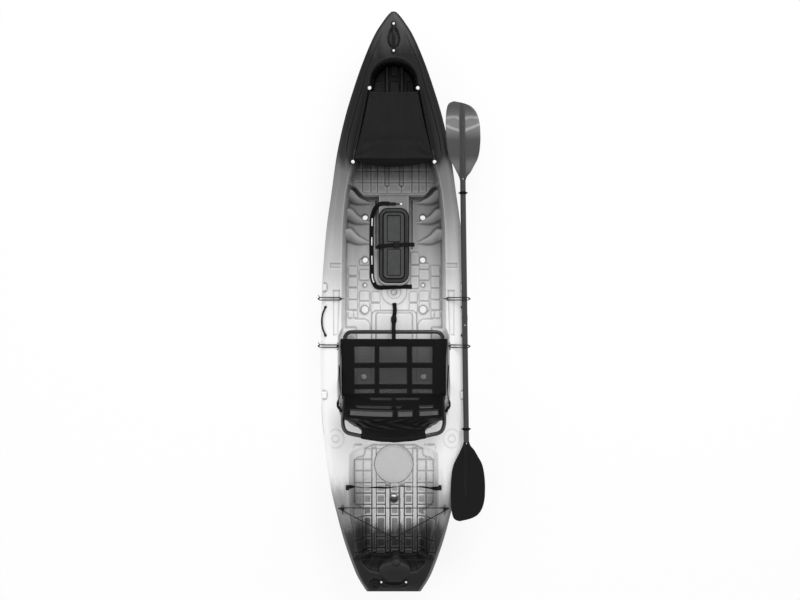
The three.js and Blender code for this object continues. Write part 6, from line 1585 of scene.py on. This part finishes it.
def makeRigging():
    for end in ("front", "rear"):
        x, y = rigging[end]
        for side, hand in hands:
            foot = deckAt(y - 0.009) + 0.0012
            profile = [(0.009, 0), (0.009, 0.003), (0.0045, 0.0052), (0.0045, 0.0125), (0.0075, 0.0138),
                       (0.0088, 0.0150), (0.0075, 0.0168), (0.0001, 0.0172)]
            knob = turning(profile, (side * x, y, foot), 24)
            ring = tube([(side * x + 0.006 * math.cos(a), y + 0.0165 + 0.0085 * math.sin(a), foot + 0.010)
                         for a in np.linspace(0, 2 * math.pi, 10)[:-1]], 0.0014, 3, 6, True)
            tail = tube([(side * x, y - 0.008, foot + 0.009), (side * (x + 0.002), y - 0.020, foot + 0.010),
                         (side * (x - 0.001), y - 0.030, foot + 0.006)], 0.0022, 4, 6)
            piece("knob" + end.title() + hand.title(), [knob, ring, tail] if end == "front" else [knob, ring], "root",
                  "black", "black_plastic", f"lacing_knob_{end}_{hand}", sharp=0.7)
    r = rigging["cord"]
    wrap = rigging["neck"] + r + 0.0006
    fx, fy = rigging["front"]
    rx, ry = rigging["rear"]

    def height(y):
        return deckAt(y - 0.009) + rigging["rise"]

    def around(x, y, start, end):
        return [(x + wrap * math.cos(a), y + wrap * math.sin(a),
                 height(y)) for a in np.radians(np.linspace(start, end, 5))]

    cross = fy + (ry - fy) * fx / (fx + rx)
    level = (height(fy) + height(ry)) / 2
    line = [(0.006, ry - wrap, height(ry)), *around(-rx, ry, 270, 140), (0.002, cross, level + 0.005),
            *around(fx, fy, -60, 90),
            (0, fy + wrap - 0.001, height(fy)), *around(-fx, fy, 90, 240), (-0.002, cross, level - 0.001),
            *around(rx, ry, 40, -90), (0.020, ry - wrap, height(ry))]
    cord = tube(line, r, 7, 8)
    knot = tube([(0.008 + 0.007 * math.cos(a), ry - wrap + 0.006 * math.sin(a), height(ry) + 0.004 * math.sin(2 * a))
                 for a in np.linspace(0, 2 * math.pi, 9)[:-1]], 0.0036, 4, 8, True)
    tails = (((0.012, 0, 0), (0.022, 0.014, 0.002), (0.034, 0.020, 0)),
             ((0.006, 0, 0), (0, -0.012, 0), (0.008, -0.022, 0)))
    ends = [tube([(dx, ry - wrap + dy, height(ry) + dz) for dx, dy, dz in tail], 0.0022, 4, 6) for tail in tails]
    angles = np.linspace(0, 2 * math.pi, 11)[:-1]
    ring = tube([(0.007 * math.cos(a), cross + 0.007 * math.sin(a), level + 0.003) for a in angles], 0.0016, 3, 6, True)
    piece("sternLacing", [cord, knot, *ends, ring], "root", "cord", "bungee", "stern_lacing", sharp=0.9)

    # The lashing strap: webbing turned nearly on edge between two flat tabs
    y, half = rigging["strapAlong"], rigging["strapHalf"]
    top = deckAt(y)
    share = np.linspace(-1, 1, 17)
    sag = np.clip(1 - (share / 0.93) ** 2, 0, None) * rigging["strapSag"]
    path = np.stack([share * half, y + 0.0035 * np.sin(5 * share) + 0.002 * np.sin(13 * share),
                     top + 0.0030 - sag], -1)
    line = smoothed(path, 6)
    turn = np.radians(72 * np.clip((0.90 - np.abs(line[:, 0] / half)) / 0.12, 0, 1) + 16 * np.sin(line[:, 0] * 22))
    across = np.stack([0 * turn, np.cos(turn), np.sin(turn)], -1)
    strap = sweep(line, roundedBox(rigging["strapWidth"], 0.0022, 0.001, 2), across)
    shown = piece("lashingStrap", [strap], "root", "webbing", "webbing", "lashing_strap", sharp=0.9)
    tabs = [ringed([(0, top + 0.0012), (0, top + 0.0050), (0.002, top + 0.0062)], (0.020, 0.030), 0.004,
                   (side * rigging["tabAcross"], y), cap=True, steps=3) for side in (1, -1)]
    piece("lashingTabs", tabs, "root", "black", "webbing", "lashing_strap", sharp=0.9)


def makeClosures():
    # Drain plug with a cross grip, and the round plate with a shallow ring groove near its edge
    dx, dy = sternDeck["drain"]
    z = deckAt(dy - 0.029) + 0.0004
    profile = [(0.0168, -0.010), (0.0168, 0), (0.0285, 0.0002), (0.0290, 0.002), (0.0275, 0.0062), (0.0215, 0.0070),
               (0.0195, 0.0074), (0.0188, 0.0150), (0.0172, 0.0160), (0.0125, 0.0160), (0.0115, 0.0110),
               (0.0001, 0.0105)]
    plug = turning(profile, (dx, dy, z), 40)
    bar = ringed([(0, z + 0.010), (0, z + 0.0150), (0.0012, z + 0.0160)], (0.034, 0.0075), 0.003, (dx, dy), cap=True,
                 steps=3)
    piece("drainPlug", [plug, bar], "drain", "black", "black_plastic", "drain_plug", sharp=0.6)
    px, py = tank["plate"]
    profile = [(0.0855, -0.015), (0.0855, 0), (0.1058, 0.0002), (0.1060, 0.0045), (0.1045, 0.0070), (0.1010, 0.0092),
               (0.0975, 0.0098), (0.0965, 0.0090), (0.0950, 0.0088), (0.0940, 0.0096), (0.0001, 0.0098)]
    rim = turning(profile, (px, py, tank["plateFoot"]), 96)
    piece("deckPlate", [rim], "round_plate", "plate", "deck_plate_plastic", "deck_plate", sharp=0.5)


# Finishes


def tinted(color, factor):
    return (*(channel * factor for channel in color), 1)

def weaveHeight(paint, vector, pitch):
    # Over-and-under threads from two crossed waves
    u, v, w = paint.parts(vector)
    wave = 2 * math.pi / pitch
    return (u * wave).sine() * (v * wave).sine()


def makeFinishes():
    finishes["hull"] = hullPlastic()

    def plastic(name, color, roughness, specular, grain=0.03, scale=300.0, shade=0.25):
        paint = Finish(name, color, roughness, specular)
        place = paint.where()
        cloud = paint.noise(place, 35.0, 3.0)
        fine = paint.noise(place, scale, 2.0)
        light = (*(min(1.0, channel * (1 + shade)) for channel in color), 1)
        deep = (*(channel * (1 - shade) for channel in color), 1)
        paint.set("Base Color", paint.blended(cloud, deep, light))
        paint.set("Roughness", cloud * 0.12 + (roughness - 0.06))
        paint.bump(fine, grain, 0.0005)
        return paint.material

    finishes["black"] = plastic("blackPlastic", (0.004, 0.004, 0.0042), 0.42, 0.22)
    finishes["frame"] = plastic("hatchFramePlastic", (0.050, 0.052, 0.053), 0.50, 0.20)
    finishes["lid"] = plastic("hatchLidPlastic", (0.056, 0.057, 0.058), 0.50, 0.22, 0.12, 900.0)
    finishes["rubber"] = plastic("rubber", (0.0035, 0.0035, 0.0035), 0.75, 0.10)
    finishes["white"] = plastic("whitePlastic", (0.86, 0.86, 0.85), 0.35, 0.5, 0.01, 300.0, shade=0.03)
    finishes["plate"] = plastic("platePlastic", (0.76, 0.76, 0.765), 0.55, 0.3, 0.10, 1400.0, shade=0.05)
    finishes["steel"] = plastic("steel", (0.62, 0.62, 0.60), 0.28, 0.5, 0.02, 600.0, shade=0.05)
    finishes["tube"] = plastic("tubePaint", (0.010, 0.010, 0.0105), 0.24, 0.55, 0.02, 900.0)
    finishes["shaft"] = plastic("shaftPaint", (0.022, 0.022, 0.022), 0.34, 0.6, 0.03, 1500.0, shade=0.12)
    finishes["blade"] = plastic("bladePlastic", (0.0035, 0.0035, 0.0036), 0.34, 0.18, 0.04, 500.0)
    finishes["bladeGlossPaintedReflection"] = bladeGlossPaintedReflection()
    finishes["webbing"] = webbingCloth("webbingCloth", (0.0055, 0.0055, 0.0058))
    finishes["cord"] = cordCloth()
    finishes["fabric"] = sheetCloth("seatCloth", (0.0045, 0.0045, 0.0047), 0.0016, 0.4)
    finishes["cover"] = sheetCloth("coverMesh", (0.0085, 0.0085, 0.0085), 0.0024, 0.7, streaks=True)
    finishes["panMesh"] = openMesh("panMesh", (0.0048, 0.0048, 0.0050), (0.056, 0.056, 0.057), 0.7, 0.12)
    finishes["backMesh"] = openMesh("backMesh", (0.0022, 0.0022, 0.0024), (0.115, 0.115, 0.116), 0.36, 0.28)


def bladeGlossPaintedReflection():
    # The bow blade's base colour is painted with reflections: two thin studio streaks across its upper half, a broad
    # sheen round them, a faint lighter band near the neck and a lighter spine
    paint = Finish("bladeGlossPaintedReflection", roughness=0.30, specular=0.45)
    u, along, rest = paint.parts(paint.uv())
    place = paint.where()
    cloud = paint.noise(place, 14.0, 3.0)
    side = u.absolute()
    first = (along - 0.620 - side * 0.75 + (cloud - 0.5) * 0.05).absolute()
    second = (along - 0.800 + (side - 0.05).absolute() * 0.35 + (cloud - 0.5) * 0.06).absolute()
    off = side.between(0.014, 0.022)
    glow = (1.0 - first.between(0.0, 0.035)) * off * 0.55 + (1.0 - second.between(0.0, 0.030)) * off * 0.40
    body = (1.0 - (along - 0.71).absolute().between(0.04, 0.22)) * off * 0.16
    band = (1.0 - (along - 0.18).absolute().between(0.02, 0.14)) * off * 0.07
    tone = (1.0 - side.between(0.0, 0.02)) * (-0.02) + 0.045 + band
    grey = (tone + glow * 0.34 + body * 0.7).max(0.006)
    paint.set("Base Color", paint.node("CombineXYZ", {}, {0: grey, 1: grey, 2: grey}))
    return paint.material


def webbingCloth(name, color):
    paint = Finish(name, color, 0.8, specular=0.15)
    u, v, rest = paint.parts(paint.uv())
    ribs = (u * (2 * math.pi / 0.0022)).sine() * 0.5 + (v * (2 * math.pi / 0.0026)).sine() * 0.5
    selvedge = v.absolute().between(0.0095, 0.0115)
    tone = paint.blended(ribs.between(-0.9, 0.9), tinted(color, 0.6), tinted(color, 1.7))
    paint.set("Base Color", tone)
    paint.bump(ribs + selvedge * 0.5, 0.5, 0.0004)
    return paint.material


def cordCloth():
    paint = Finish("cordCloth", (0.009, 0.009, 0.009), 0.7, specular=0.2)
    u, v, rest = paint.parts(paint.uv())
    wave = 2 * math.pi / 0.004
    braid = (u * wave + v * wave).sine() * (u * wave - v * wave).sine()
    paint.set("Base Color", paint.blended(braid.between(-0.6, 0.6), (0.005, 0.005, 0.005, 1), (0.015, 0.015, 0.015, 1)))
    paint.bump(braid, 0.4, 0.0004)
    return paint.material


def sheetCloth(name, color, pitch, bump, streaks=False):
    paint = Finish(name, color, 0.62, specular=0.14)
    vector = paint.uv()
    weave = weaveHeight(paint, vector, pitch)
    cloud = paint.noise(vector, 9.0, 3.0)
    lines = paint.noise(paint.scaled(vector, (220.0, 3.0, 1.0)), 1.0, 2.0)
    tone = cloud * 0.5 + lines * (0.7 if streaks else 0.2)
    paint.set("Base Color", paint.blended(tone.between(0.2, 1.0), tinted(color, 0.62), tinted(color, 1.45)))
    paint.bump(weave, bump * 0.5, 0.0004)
    return paint.material


def openMesh(name, solid, threads, roughness, specular):
    # Solid borders and webbing; in the windows an open weave that shows what lies below
    paint = Finish(name, solid, roughness, specular=specular)
    vector = paint.uv()
    opened = paint.marked("open")
    u, v, rest = paint.parts(vector)
    wave = 2 * math.pi / 0.0030
    gap = ((u * wave).sine().between(0.10, 0.45) * (v * wave).sine().between(0.10, 0.45)) * opened
    cloud = paint.noise(vector, 30.0, 2.0)
    if roughness < 0.5:
        paint.set("Roughness", roughness + opened * 0.3)
    tone = paint.blended(opened, paint.blended(cloud, tinted(solid, 0.7), tinted(solid, 1.4)), (*threads, 1))
    paint.set("Base Color", tone)
    paint.set("Alpha", 1.0 - gap)
    paint.bump(weaveHeight(paint, vector, 0.0018), 0.25, 0.0004)
    return paint.material


makeStage()
makeFinishes()
print("stage and finishes made")
makeHull()
print("hull made")
makeBow()
makeHatch()
print("bow and hatch made")
makeSeat()
makeFloorStrap()
print("seat and straps made")
makePaddle()
makeHandles()
makeKeepers()
makeRigging()
makeClosures()
print("paddle, handles and rigging made")
